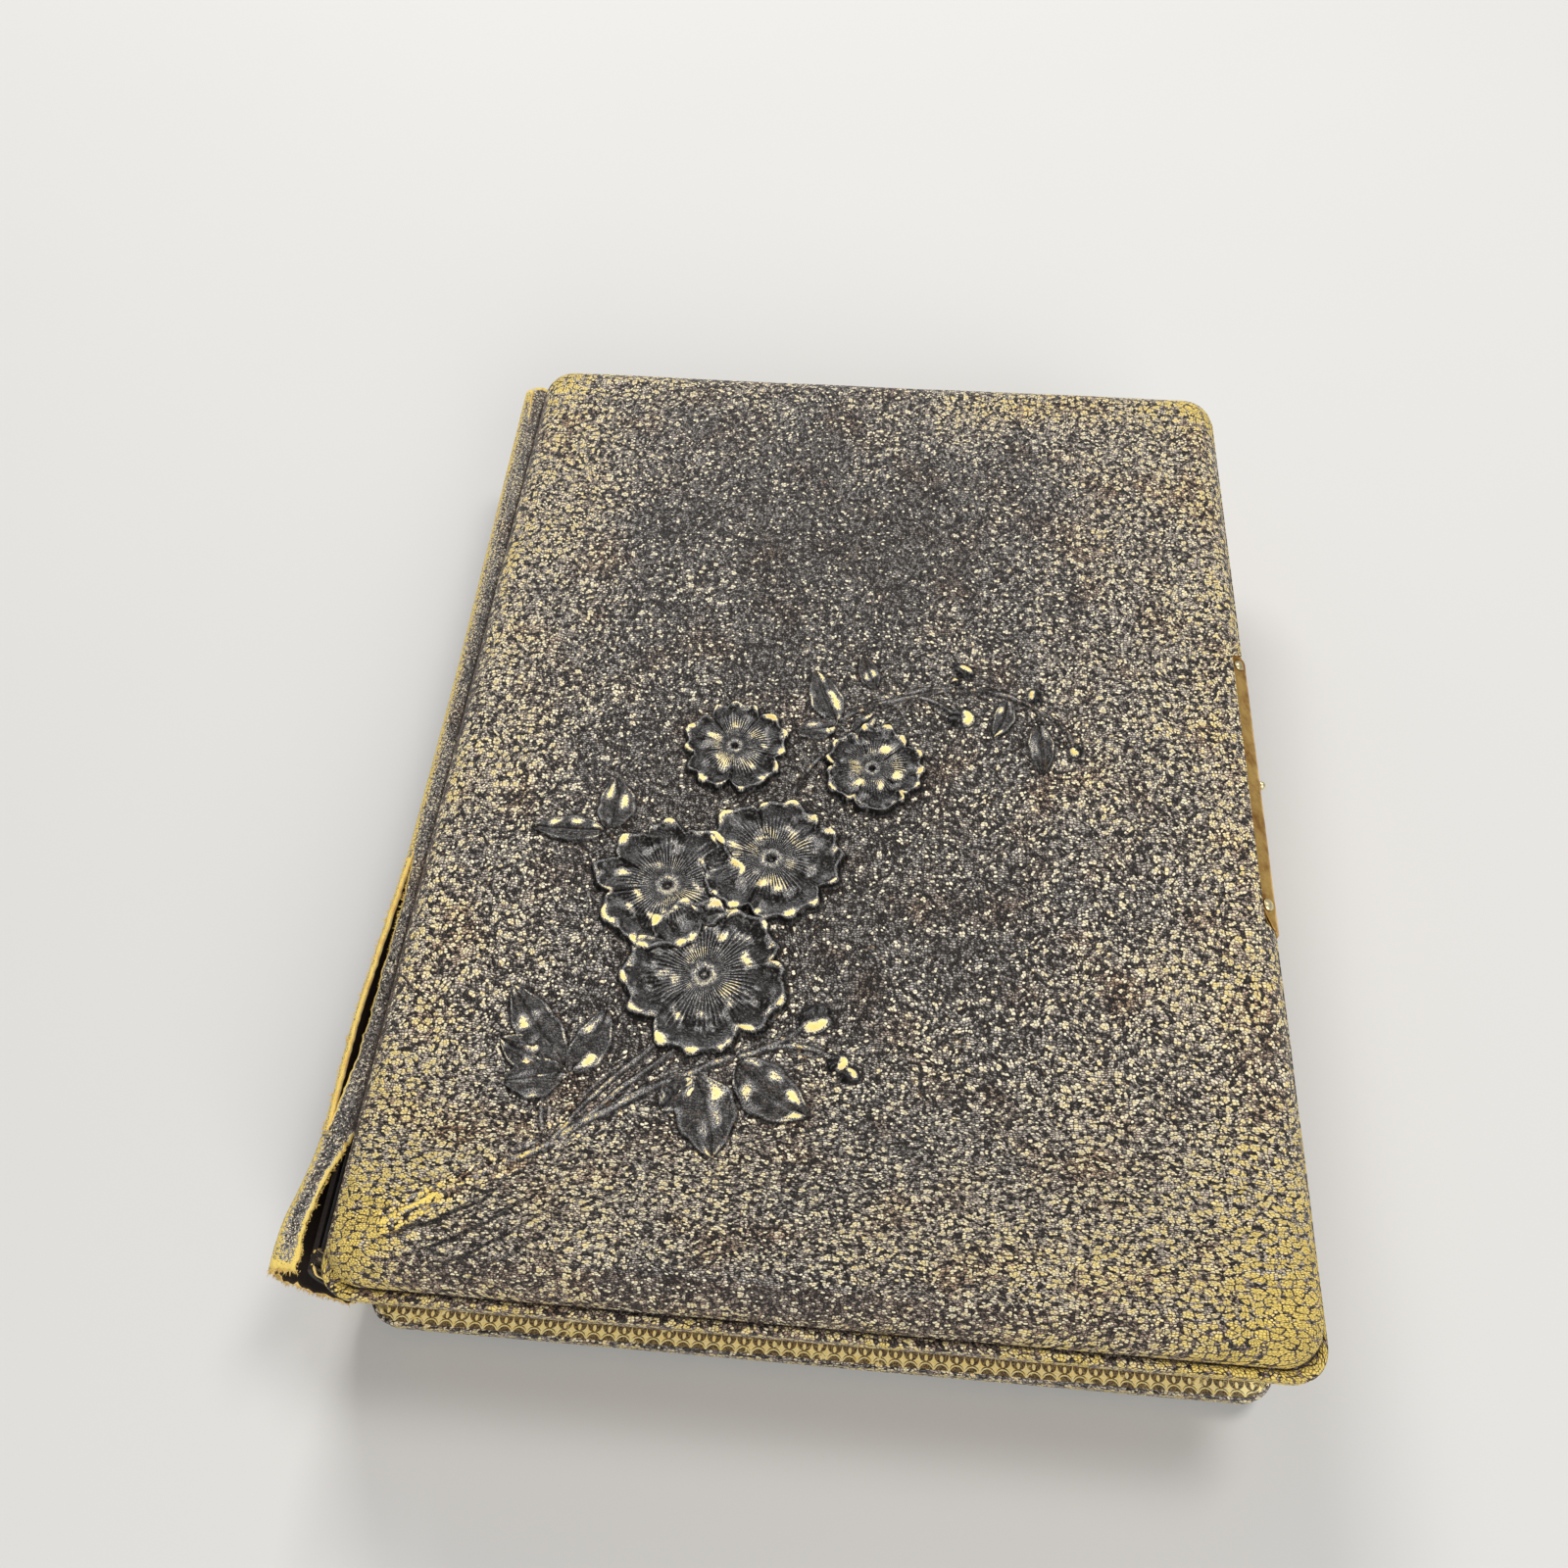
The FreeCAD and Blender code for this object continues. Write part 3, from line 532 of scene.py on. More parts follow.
def wearOf(x, y):
    # share of gold: low in the middle, high along the edges and solid at the corners
    w, l = coverSize["halfWidth"], coverSize["halfLength"]
    share = 0.20 + 0.05 * drift(x, y, 21, 34) + 0.03 * drift(x, y, 22, 9)
    share = share + 0.25 * bell(x, -w, 34) + 0.24 * bell(x, w, 50) + 0.11 * bell(y, l, 20) + 0.24 * bell(y, -l, 44)
    toEdge = np.minimum(w - np.abs(x), l - np.abs(y))
    share = share + 0.15 * np.exp(-np.maximum(toEdge, 0) / 7) * (1 + 0.6 * drift(x, y, 23, 26))
    for cx, cy, reach, much in ((-w, -l, 19, 0.55), (-w, l, 15, 0.40), (w, -l, 19, 0.50), (w, l, 16, 0.4)):
        share = share + much * np.exp(-((x - cx) ** 2 + (y - cy) ** 2) / reach ** 2)
    for cx, cy, rx, ry, much in ((45, 122, 24, 7, 0.22), (-84, 88, 12, 36, 0.10), (12, 66, 30, 26, -0.11),
                                 (-34, 72, 34, 28, -0.08), (24, -38, 30, 36, -0.03), (-35, -20, 40, 40, -0.08),
                                 (-28, -48, 28, 32, -0.10), (-48, -90, 30, 18, -0.08), (0, -129, 78, 4.5, -0.24)):
        share = share + much * bell(x, cx, rx) * bell(y, cy, ry)
    # beyond a line that rises from the tail corner by the spine the cover is browner
    below = ease(1, -5, (y + l) - 0.62 * (x + w) - 2)
    share = share - 0.26 * below * ease(46, 24, np.hypot(x + w, y + l))
    return np.clip(share, 0.02, 1)


def roundedLoop(flatX, flatY, halfX, halfY, inset, corner):
    # points of a rectangle's outline carried to a smaller rectangle with rounded corners:
    # near a corner the way along the two sides becomes the way round the arc
    lowX, highX = -halfX + inset[..., 0], halfX - inset[..., 1]
    lowY, highY = -halfY + inset[..., 2], halfY - inset[..., 3]
    a, b = (highX - lowX) / 2, (highY - lowY) / 2
    px, py = flatX * a, flatY * b
    dx, dy = np.abs(px) - (a - corner), np.abs(py) - (b - corner)
    safe = np.maximum(corner, 1e-6)
    turn = np.radians(np.clip(np.where(dy >= dx, 45 * dx / safe, 90 - 45 * dy / safe), 0, 90))
    reach = np.maximum(dx, dy)
    inCorner = (dx > 0) & (dy > 0)
    x = np.where(inCorner, np.sign(px) * ((a - corner) + reach * np.sin(turn)), px)
    y = np.where(inCorner, np.sign(py) * ((b - corner) + reach * np.cos(turn)), py)
    return x + (lowX + highX) / 2, y + (lowY + highY) / 2


def ringStack(pad, *runs):
    # each run is (follow, share of the pad's inset, millimetres more, height, corner radius) for a row of rings
    return [{"inset": share * pad["inset"] + more, "z": z, "corner": corner, "follow": follow}
            for run in runs for follow, share, more, z, corner in run]


def turnInRings(pad, spineLimit, pairs):
    # the turn-in runs level toward the middle, but hardly at all on the spine side
    return [{"inset": np.array([min(more, spineLimit), more, more, more]), "z": z,
             "corner": max(0.3, pad["rimCorner"] - 0.4 * more), "follow": 0} for more, z in pairs]


def coverSkin(rings, topHeight, flip, shoulderRings):
    # a level grid for the face, and rings of the same outline for the shoulder, rim, edge and turn-in
    w, l, step = coverSize["halfWidth"], coverSize["halfLength"], coverSize["grid"]
    n, m = int(2 * w / step), int(2 * l / step)
    u, v = np.meshgrid(np.linspace(-1, 1, n), np.linspace(-1, 1, m), indexing="ij")
    inset, corner, base, follow = (np.array([r[key] for r in rings]) for key in ("inset", "corner", "z", "follow"))
    x, y = roundedLoop(u, v, w, l, inset[0], corner[0] * ease(0.8, 1, np.maximum(np.abs(u), np.abs(v))))
    grid = place3(x, y, topHeight(x, y)).reshape(-1, 3)
    loop = borderOf(np.arange(n * m).reshape(n, m).T)
    x, y = roundedLoop(u.ravel()[loop], v.ravel()[loop], w, l, inset[1:, None], corner[1:, None])
    ringPoints = place3(x, y, base[1:, None] + follow[1:, None] * (topHeight(x, y) - base[0]))
    count, around = n * m, len(loop)
    below = count + np.arange(around)
    joined = np.stack([loop, below, np.roll(below, -1), np.roll(loop, -1)], -1)
    faces = [gridFaces(n, m, flip=flip), joined[:, ::-1] if flip else joined,
             gridFaces(len(rings) - 1, around, count, closeColumns=True, flip=flip)]
    last = count + (len(rings) - 2) * around + np.arange(around)
    faces.append(last[None] if flip else last[None, ::-1])
    points = np.concatenate([grid, ringPoints.reshape(-1, 3)])
    ringOf = np.concatenate([np.zeros(count), np.repeat(np.arange(1, len(rings)), around)])
    # flat coordinates: X and Y on the face, carried on outward down the shoulder; past it, the way round the
    # outline from the middle of the spine side and the way down
    start = grid[loop]
    travel = np.cumsum(np.linalg.norm(np.diff(np.concatenate([start[None], ringPoints]), axis=0), axis=2), axis=0)
    outline = ringPoints[shoulderRings - 2, :, :2]
    outward = outline - start[:, :2]
    outward = outward / np.linalg.norm(outward, axis=1, keepdims=True)
    way = np.cumsum(np.linalg.norm(outline - np.roll(outline, 1, axis=0), axis=1))
    way = np.mod(way - way[around - m // 2], way[-1])
    rim = np.stack([way + 0 * travel, -travel], -1)
    onShoulder = np.arange(1, len(rings))[:, None, None] < shoulderRings
    flat = np.where(onShoulder, start[:, :2] + outward * travel[..., None], rim)
    return points, faces, ringOf, np.concatenate([grid[:, :2], flat.reshape(-1, 2)])


def frontRings():
    # a quarter turn down the shoulder, then crease, rolled rim, edge and turn-in
    pad = frontPad
    foot, rimCorner = pad["rimTop"] + 0.4, pad["rimCorner"]
    turns = np.radians(np.linspace(0, 90, pad["shoulderRings"]))
    deeps = pad["shoulder"] * (1 - np.sin(turns))
    shoulder = [(math.cos(t), 1, deep, foot + (pad["top"] - foot) * math.cos(t) ** 0.86, pad["corner"] - deep)
                for t, deep in zip(turns, deeps)]
    rim = [(0, share, more, z, rimCorner + 1.2 * share) for share, more, z in (
        (1.02, 0.15, 43.75), (0.94, 0, 43.45), (0.80, 0, 43.75), (0.55, 0, 43.98), (0.30, 0, 43.93),
        (0.12, 0, 43.6), (0, 0.02, 43), (0, 0, 42.2), (0, 0, 41), (0, 0, 39.8), (0, 0.05, 38.8),
        (0, 0.25, 38.15), (0, 0.7, 37.84), (0, 1.3, 37.8))]
    return ringStack(pad, shoulder, rim) + turnInRings(pad, 1.4, (
        (3, 37.8), (5, 37.8), (7.5, 37.8), (10, 37.8), (12.5, 37.8), (13.9, 37.82), (14.1, 38), (14.1, 39.4)))


def makeFrontLeather():
    points, faces, ringOf, flat = coverSkin(frontRings(), padTop, False, frontPad["shoulderRings"])
    x, y, z = points.T
    onShoulder = ringOf < frontPad["shoulderRings"]
    # the bed of the clasp plate is pressed into the shoulder, and the flat X takes up the fall
    (low, high), inner, outer = (frontPad[key] for key in ("seatEnds", "seatInnerX", "seatOuterX"))
    floorX, floorZ = frontPad["seatFloor"]
    bed = ease(low - 0.9, low + 0.1, y) * ease(high + 0.9, high - 0.1, y)
    floorZ = floorZ - frontPad["seatSlope"] * (x - floorX)
    pressed = bed * ease(inner, inner + 0.7, x)
    fallen = np.where(z > floorZ, z - floorZ, 0) * pressed
    z = z - fallen
    x = np.where((bed > 0) & (x > outer), x + (outer - x) * bed, x)
    # the rim wavers a little, as old board does
    side = ease(13, 17, ringOf) * ease(36, 30, ringOf)
    z = z + side * 0.12 * drift(x, y, 31, 38)
    wear = wearOf(x, y) + 0.04 * bell(ringOf, 19, 3.5)
    underRim = ease(10, 14, ringOf) * ease(28, 24, ringOf)
    wear = np.where(ringOf > 27, 0.5 + 0.15 * drift(x, y, 33, 12), wear)
    # painted shade: a dark line in the crease at the rim's foot, and broken dark lines on the shoulder above it
    groove = 0.85 * bell(ringOf, 15.6, 0.9) * ease(-97, -94, x)
    groove = groove + 0.6 * bell(ringOf, 12.4 + 0.4 * drift(x, y, 34, 30), 0.5) * ease(0.2, 1, drift(x, y, 35, 24))
    # along the spine the shoulder runs out in a smooth brown crease; past the open joint its edge is bare hide
    crease = ease(-97.6, -100.2, x) * ease(-131, -124, y)
    browner = 0.5 * ease(-115, -129, y) * ease(4, 9, ringOf + 9 * ease(-126, -129, y))
    bare = ease(-100.5, -102, y) * ease(-101.2, -101.8, x) * ease(16, 19, ringOf)
    wear = wear * (1 - 0.6 * crease)
    creased = bell(x, -72, 15) * bell(y, -121, 8) * (ringOf < 12)
    # the grain is squeezed toward the tail: a ramp with a soft start
    start, soft, much = frontPad["squeeze"]
    squeeze = much * soft * np.logaddexp(0, (start - y) / soft) * onShoulder
    piece = buildMesh("frontCoverLeather", place3(x, y, z), faces,
                      {"flatX": flat[:, 0] + fallen * onShoulder, "flatY": flat[:, 1] - squeeze,
                       "wear": unit(wear), "groove": groove, "smooth": 0.35 * crease, "rubAndSheen": 0.62 * bare,
                       "creased": unit(1.5 * creased),
                       "brown": np.maximum(np.maximum(0.8 * crease, 0.5 * underRim), browner)})
    dress(piece, coverLeather, "front_cover", "cover_leather", "front_leather")


makeFrontLeather()
print("front cover leather made")


backPad = {
    "rimTop": 8.5,
    "shoulder": 2.2,
    "shoulderRings": 7,
    "inset": np.array([4.2, 4.2, 4.2, 4.2]),
    "corner": 9,
    "rimCorner": 7,
}


def backRings():
    # the same course as the front's, seen from below
    pad = backPad
    deep, rimCorner, top = pad["shoulder"], pad["rimCorner"], pad["rimTop"]
    turns = np.radians(np.linspace(0, 90, pad["shoulderRings"]))
    shoulder = [(0, 1, deep * (1 - math.sin(t)), deep - deep * math.cos(t), pad["corner"] - deep * (1 - math.sin(t)))
                for t in turns]
    rim = [(0, share, more, z, rimCorner + 0.8 * share) for share, more, z in (
        (0.97, 0, 2.62), (0.90, 0, 2.72), (0.75, 0, 2.52), (0.45, 0, 2.5), (0.18, 0, 2.55), (0.05, 0, 2.85),
        (0, 0, 3.5), (0, 0, 4.6), (0, 0, 5.8), (0, 0, 7), (0, 0.05, 7.8), (0, 0.25, 8.3),
        (0, 0.6, 8.47), (0, 1.2, top))]
    return ringStack(pad, shoulder, rim) + turnInRings(pad, 1.3, (
        (2.2, top), (3.2, top), (4.2, top), (5.5, top), (7.5, top), (10, top), (12.5, top), (13.9, 8.48), (14.1, 8.3),
        (14.1, 6.8)))


def tooledBandMaterial():
    # stamped border: u runs along the edge and v in from it, both in millimetres
    material, s, shader, place = newMaterial("tooledTurnIn", Specular_IOR_Level=0.5)
    u, v = s.mark("along"), s.mark("inward")
    plain, roughness, height = useGroup(s, leatherGroup, Vector=unrolled(s), Wear=s.mark("wear"), Smooth=0.3,
                                        Groove=0, Rub=0, Cell_Size=1)
    repeat = 3.4
    fromDome = abs(s.math("FRACT", u / repeat) - 0.5) * repeat       # 0 at a dome's middle, 1.7 between two
    fromStar = repeat / 2 - fromDome
    # half domes stand on v = 0.45 with a radius of 1.45
    away = s.math("SQRT", fromDome ** 2 + (v - 0.45) ** 2)
    dome = s.step(away, 1.5, 1.38) * s.step(v, 0.4, 0.6)
    # four-pointed stars between the domes: sum of the square roots of both distances stays under one
    star = s.math("SQRT", fromStar / 1.45) + s.math("SQRT", abs(v - 2.35) / 2.2)
    drop = (fromDome / 0.36) ** 2 + ((v - 3.15) / 0.62) ** 2
    field = s.step(star, 1, 1.06) * s.step(drop, 1, 1.3) * (s.step(away, 1.68, 1.8) * s.step(v, 4.35, 4.2))
    # plain lines further in
    line = s.math("ADD", s.step(v, 5.2, 5.4) * s.step(v, 5.9, 5.7), s.step(v, 11.6, 11.8) * s.step(v, 12.3, 12.1),
                  clamp=True)
    dark = s.math("ADD", dome + field, line, clamp=True) * s.step(s.noise(place, 240, 4, 0.65), 0.66, 0.58)
    onBand = s.step(v, 0.3, 0.7) * s.step(v, 13, 12.6)
    fine = s.noise(place, 2600)
    gilt = s.mix(s.step(fine, 0.35, 0.65), "FFE27C", "FFF6C4")
    stamped = s.mix(s.step(fine, 0.35, 0.7), "33291E", "9C8453")
    body = s.mix(onBand, plain, s.mix(dark, gilt, stamped))
    s.finish(shader, (body, s.blendValue(onBand, roughness, 0.6), height * 0.35 - dark * 0.8), 0.8, 0.0003)
    return material


tooledTurnIn = tooledBandMaterial()


def edgeMarks(x, y):
    # along: the coordinate that runs with the nearest edge, inward: the distance from it
    fromX, fromY = coverSize["halfWidth"] - np.abs(x), coverSize["halfLength"] - np.abs(y)
    return np.where(fromX < fromY, y, x), np.minimum(fromX, fromY)


def makeBackLeather():
    points, faces, ringOf, flat = coverSkin(backRings(), lambda x, y: 0 * x, True, backPad["shoulderRings"])
    x, y, z = points.T
    side = ease(6, 9, ringOf) * ease(24, 20, ringOf)
    points = place3(x, y, z + side * 0.08 * drift(x, y, 41, 40))
    wear = 0.10 + 0.06 * drift(x, y, 42, 30) + 0.5 * bell(ringOf, 14, 6) + 0.25 * bell(ringOf, 3, 2.5)
    along, inward = edgeMarks(x, y)
    onTop = ringOf >= 20
    wear = np.where(onTop, 0.75, wear)
    piece = buildMesh("backCoverLeather", points, faces,
                      {"flatX": flat[:, 0], "flatY": flat[:, 1], "wear": unit(wear), "along": along,
                       "inward": np.where(onTop, inward, 0)})
    dress(piece, coverLeather, "back_cover", "cover_leather", "back_leather")
    piece.data.materials.append(tooledTurnIn)
    # faces of the turn-in take the tooled border
    centres = np.zeros(len(piece.data.polygons) * 3)
    piece.data.polygons.foreach_get("center", centres)
    piece.data.polygons.foreach_set("material_index", (centres[2::3] > 8.3 * mm).astype(np.int32))


makeBackLeather()
print("back cover leather made")


# Embossed spray

sprayHeights = {"petal": 1.68, "leaf": 1.15, "stem": 0.62, "bank": 0.20, "sunk": -0.45}

# x, y, reach, directions of the petals, seed; lowest first
blossoms = [
    (-40.4, -42, 17, (63, 95, 137, 172, 208), 1),
    (-16.9, -33.2, 16.5, (78, 140, 205, 300, 0), 2),
    (-29.3, -63.2, 18.5, (105, 188, 270, 345, 45), 3),
    (-28.8, -2.5, 12.5, (95, 165, 235, 305, 20), 4),
    (5.5, -6.5, 12, (80, 150, 215, 280, 355), 5),
]
# base x, base y, tip x, tip y, width
leafShapes = [
    (-4, 6.5, -10.3, 22, 8),
    (-4, 5, -14, 2.5, 6),
    (5, 17.5, 1.5, 27.5, 5),
    (0, 3.5, 5.5, 9.5, 4.5),
    (46, 9.5, 47, -5, 6),
    (38.5, 16.5, 35, 5, 5),
    (-56, -28, -57, -13.5, 9),
    (-57.5, -28.5, -75, -28.5, 6.5),
    (-57.2, -86.6, -71.5, -69, 9.5),
    (-57, -86.4, -72, -81.5, 8.5),
    (-56.8, -87.9, -69.5, -91, 9.5),
    (-55.6, -88, -49.5, -73, 8),
    (-29, -86.5, -23, -103.5, 13),
    (-28.5, -87.5, -35, -94.5, 7.5),
    (-20, -83, -3.5, -93.5, 11.5),
]
# start, middle and end of a bowed line, width
stems = [
    ((-90, -123), (-75, -113.3), (-56, -102.5), 1.5),
    ((-56, -102.5), (-40, -91.2), (-20, -81.5), 1.7),
    ((-20, -81.5), (-12.5, -78.6), (-6, -73.5), 1.4),
    ((-15, -79.5), (-6, -78.2), (1, -80.7), 1.2),
    ((-57, -103), (-49.5, -92.5), (-37.5, -79.5), 1.2),
    ((-54, -100.5), (-44.5, -91), (-33, -80.5), 1.2),
    ((-59.5, -101), (-60.5, -93.5), (-57.5, -87), 1.2),
    ((-30, -86.3), (-28.6, -86.8), (-27, -87.5), 1.2),
    ((-4, 6.5), (5, 12.2), (20, 17), 1.3),
    ((20, 17), (35, 18.6), (48, 13), 1.3),
    ((48, 13), (52.8, 8.6), (55, 3), 1.1),
    ((9, 13.9), (16, 17.4), (24, 19.2), 1.1),
    ((16, 15.8), (21, 14.2), (26, 10.8), 1.1),
    ((-4, 0), (-9.4, -7), (-13.5, -15), 1.1),
    ((45, 15), (46.2, 12.4), (46, 9.5), 1.1),
    ((-52, -31), (-54.5, -30), (-57, -28), 1.3),
]
# x, y, radius
buds = [
    (27, 10.3, 3),
    (27.5, 24.5, 2.2),
    (25.5, 21, 1.1),
    (45.5, 18.3, 1.7),
    (55.3, 2.7, 1.6),
    (-3.7, -71.7, 3.4),
    (1.7, -81.2, 2.1),
    (4.2, -83.7, 1.8),
]


def withSkirt(patch, *skirt):
    # rows of a round patch, and below them a row for each value of its skirt
    return np.concatenate([patch, np.array(skirt)[:, None] * np.ones(patch.shape[1])])


def reliefMarks(x, y, smooth, rubAndSheen, groove, share=0.8):
    # pressed leather keeps little of the cover's wear
    return {"smooth": smooth, "rubAndSheen": rubAndSheen, "groove": groove, "wear": wearOf(x, y) * (1 - share * smooth)}


def blossomParts(cx, cy, reach, directions, seed):
    # polar patch: radius = reach x petal outline; height = cupped petals with a rolled, scalloped rim,
    # fine ribs round the heart, one side of each petal lapped over its neighbour
    around = 280
    rng = np.random.default_rng(seed)
    theta = np.linspace(0, 2 * np.pi, around, endpoint=False)
    order = np.sort(np.radians(np.mod(directions, 360)))
    edges = order + np.mod(np.roll(order, -1) - order, 2 * np.pi) / 2
    away = np.mod(theta[:, None] - edges, 2 * np.pi)
    after = np.argmin(away, axis=1)
    petal = (after + 1) % len(order)
    start = edges[after]
    span = np.mod(edges[petal] - start, 2 * np.pi)
    side = 2 * np.mod(theta - start, 2 * np.pi) / span - 1          # -1 .. 1 across a petal
    phase = rng.uniform(-0.7, 0.7, len(order))[petal]
    waves = rng.uniform(2.3, 3.3, len(order))[petal]
    lobes = np.cos(waves * np.pi * side * np.clip(span / 1.25, 0.5, 1.3) + phase)
    size = rng.uniform(0.93, 1.06, len(order))[petal]
    outline = reach * size * (0.76 + 0.24 * np.sqrt(unit(1 - np.abs(side) ** 3.6)))
    ruffle = drift(reach * np.cos(theta), reach * np.sin(theta), seed + 30, 4.5)
    outline = outline * (1 + 0.04 * lobes * (1 - side ** 4) + 0.018 * ruffle)
    smoothOutline = (outline + np.roll(outline, 1) + np.roll(outline, -1)) / 3
    rho = np.concatenate([np.linspace(0, 0.12, 6), np.linspace(0.15, 0.86, 26), np.linspace(0.89, 1, 7)])
    beyond = np.array([0.22, 0.55, 0.95, 1.5, 2.2, 3, 3])
    radius = np.concatenate([rho[:, None] * smoothOutline, smoothOutline + beyond[:, None]])
    r = rho[:, None] * np.ones(around)
    u = side * np.ones((len(rho), 1))
    grain = drift(r * 9, theta * 5, seed + 50, 2.5)
    rise = ease(0.03, 0.62, r)
    bowl = bell(r, 0.74, 0.17) * (1 - u ** 4)
    rim = bell(r, 0.955, 0.045)
    h = sprayHeights["petal"] * (0.30 + 0.62 * rise)
    h = h - 1.05 * bowl * (0.7 + 0.3 * np.cos(2.2 * u + seed)) + 0.42 * rim * (0.75 + 0.25 * lobes)
    h = h + 0.24 * lobes * ease(0.55, 0.95, r) * (1 - u ** 6)
    ribCount = 26 * span / 1.25
    h = h + 0.10 * np.cos(ribCount * u * 0.5 * np.pi + 0.5 * grain) * bell(r, 0.42, 0.24)
    h = h + 0.30 * u * ease(0.25, 0.7, r) - 0.55 * ease(0.90, 1, np.abs(u)) * ease(0.2, 0.45, r)
    heart = -0.75 * ease(0.075, 0.02, r) + 0.16 * bell(r, 0.115, 0.03) - 0.15 * ease(0.05, 0, r)
    h = h + heart + 0.06 * grain * ease(0.3, 0.8, r)
    h[-1] = h[-1] * 0.82
    bank = sprayHeights["bank"] * (1 + 0.4 * drift(theta * 8, 0 * theta, seed + 9, 4))
    skirt = np.stack(np.broadcast_arrays(0.45 * h[-1], 0, bank * 0.45, bank, bank * 0.5,
                                         sprayHeights["sunk"], -0.9))
    h = np.concatenate([h, skirt])
    x = cx + radius * np.cos(theta)
    y = cy + radius * np.sin(theta)
    lift = 0.16 * (seed % 3)
    z = padTop(x, y) + h + lift * np.concatenate([np.ones(len(rho)), np.linspace(0.5, 0, 7)])[:, None]
    smoothMark = withSkirt(np.ones(r.shape), 1, 0.8, 0.4, 0.1, 0, 0, 0)
    inner = (x[:len(rho)], y[:len(rho)])
    blot = ease(0, 1.1, drift(*inner, seed + 12, 5)) * bell(r, 0.92, 0.06)
    tips = rim ** 0.5 * ease(-0.3, 0.9, lobes) * ease(-0.9, 0.6, drift(*inner, seed + 14, 7))
    ribs = bell(r, 0.40, 0.27) * ease(0.35, 1, np.cos(ribCount * u * 0.5 * np.pi + 0.5 * grain))
    # where this mark is high the relief goes gold; at lower values it gives pale grey, partly wear and partly a painted
    # highlight along the rim, the ribs and the heart's ring, with a painted glow over the petals' middles
    rubAndSheen = np.maximum(1.05 * blot * (0.35 + 0.65 * ease(-0.5, 0.6, lobes)), 0.70 * tips) + 0.28 * rim ** 4
    rubAndSheen = rubAndSheen + 0.58 * ribs * (0.6 + ease(0.2, 1.1, drift(*inner, seed + 15, 8)))
    rubAndSheen = rubAndSheen + 0.7 * ease(0.3, 1.5, drift(*inner, seed + 16, 5)) * bell(r, 0.5, 0.16)
    rubAndSheen = rubAndSheen + 0.42 * bell(r, 0.12, 0.04) + 0.08 * bell(r, 0.3, 0.2)
    rubAndSheen = rubAndSheen + 0.30 * ease(0.1, 1.1, drift(*inner, seed + 17, 5)) * bell(r, 0.62, 0.28)
    rubAndSheen = withSkirt(unit(rubAndSheen), 0, 0, 0, 0, 0, 0, 0)
    # painted shade: dark between the petals, in the heart's pit and in the ring round the blossom
    groove = 0.5 * ease(0.93, 1, np.abs(u)) * ease(0.3, 0.5, r) + 0.8 * ease(0.05, 0, r)
    groove = withSkirt(groove, 0.15, 0.45, 0.15, 0, 0, 0, 0)
    marks = reliefMarks(x, y, smoothMark, rubAndSheen, groove)
    # the first ring shrinks to one point, the heart's middle
    rows, ring = len(radius), np.arange(around)
    hub = np.stack([0 * ring, 1 + ring, 1 + np.roll(ring, -1)], -1)
    bottom = 1 + (rows - 2) * around + ring[::-1]
    keep = np.r_[0, around:rows * around]
    return (place3(x, y, z).reshape(-1, 3)[keep],
            [gridFaces(rows - 1, around, 1, closeColumns=True), hub, bottom[None]],
            {key: np.ravel(value)[keep] for key, value in marks.items()})


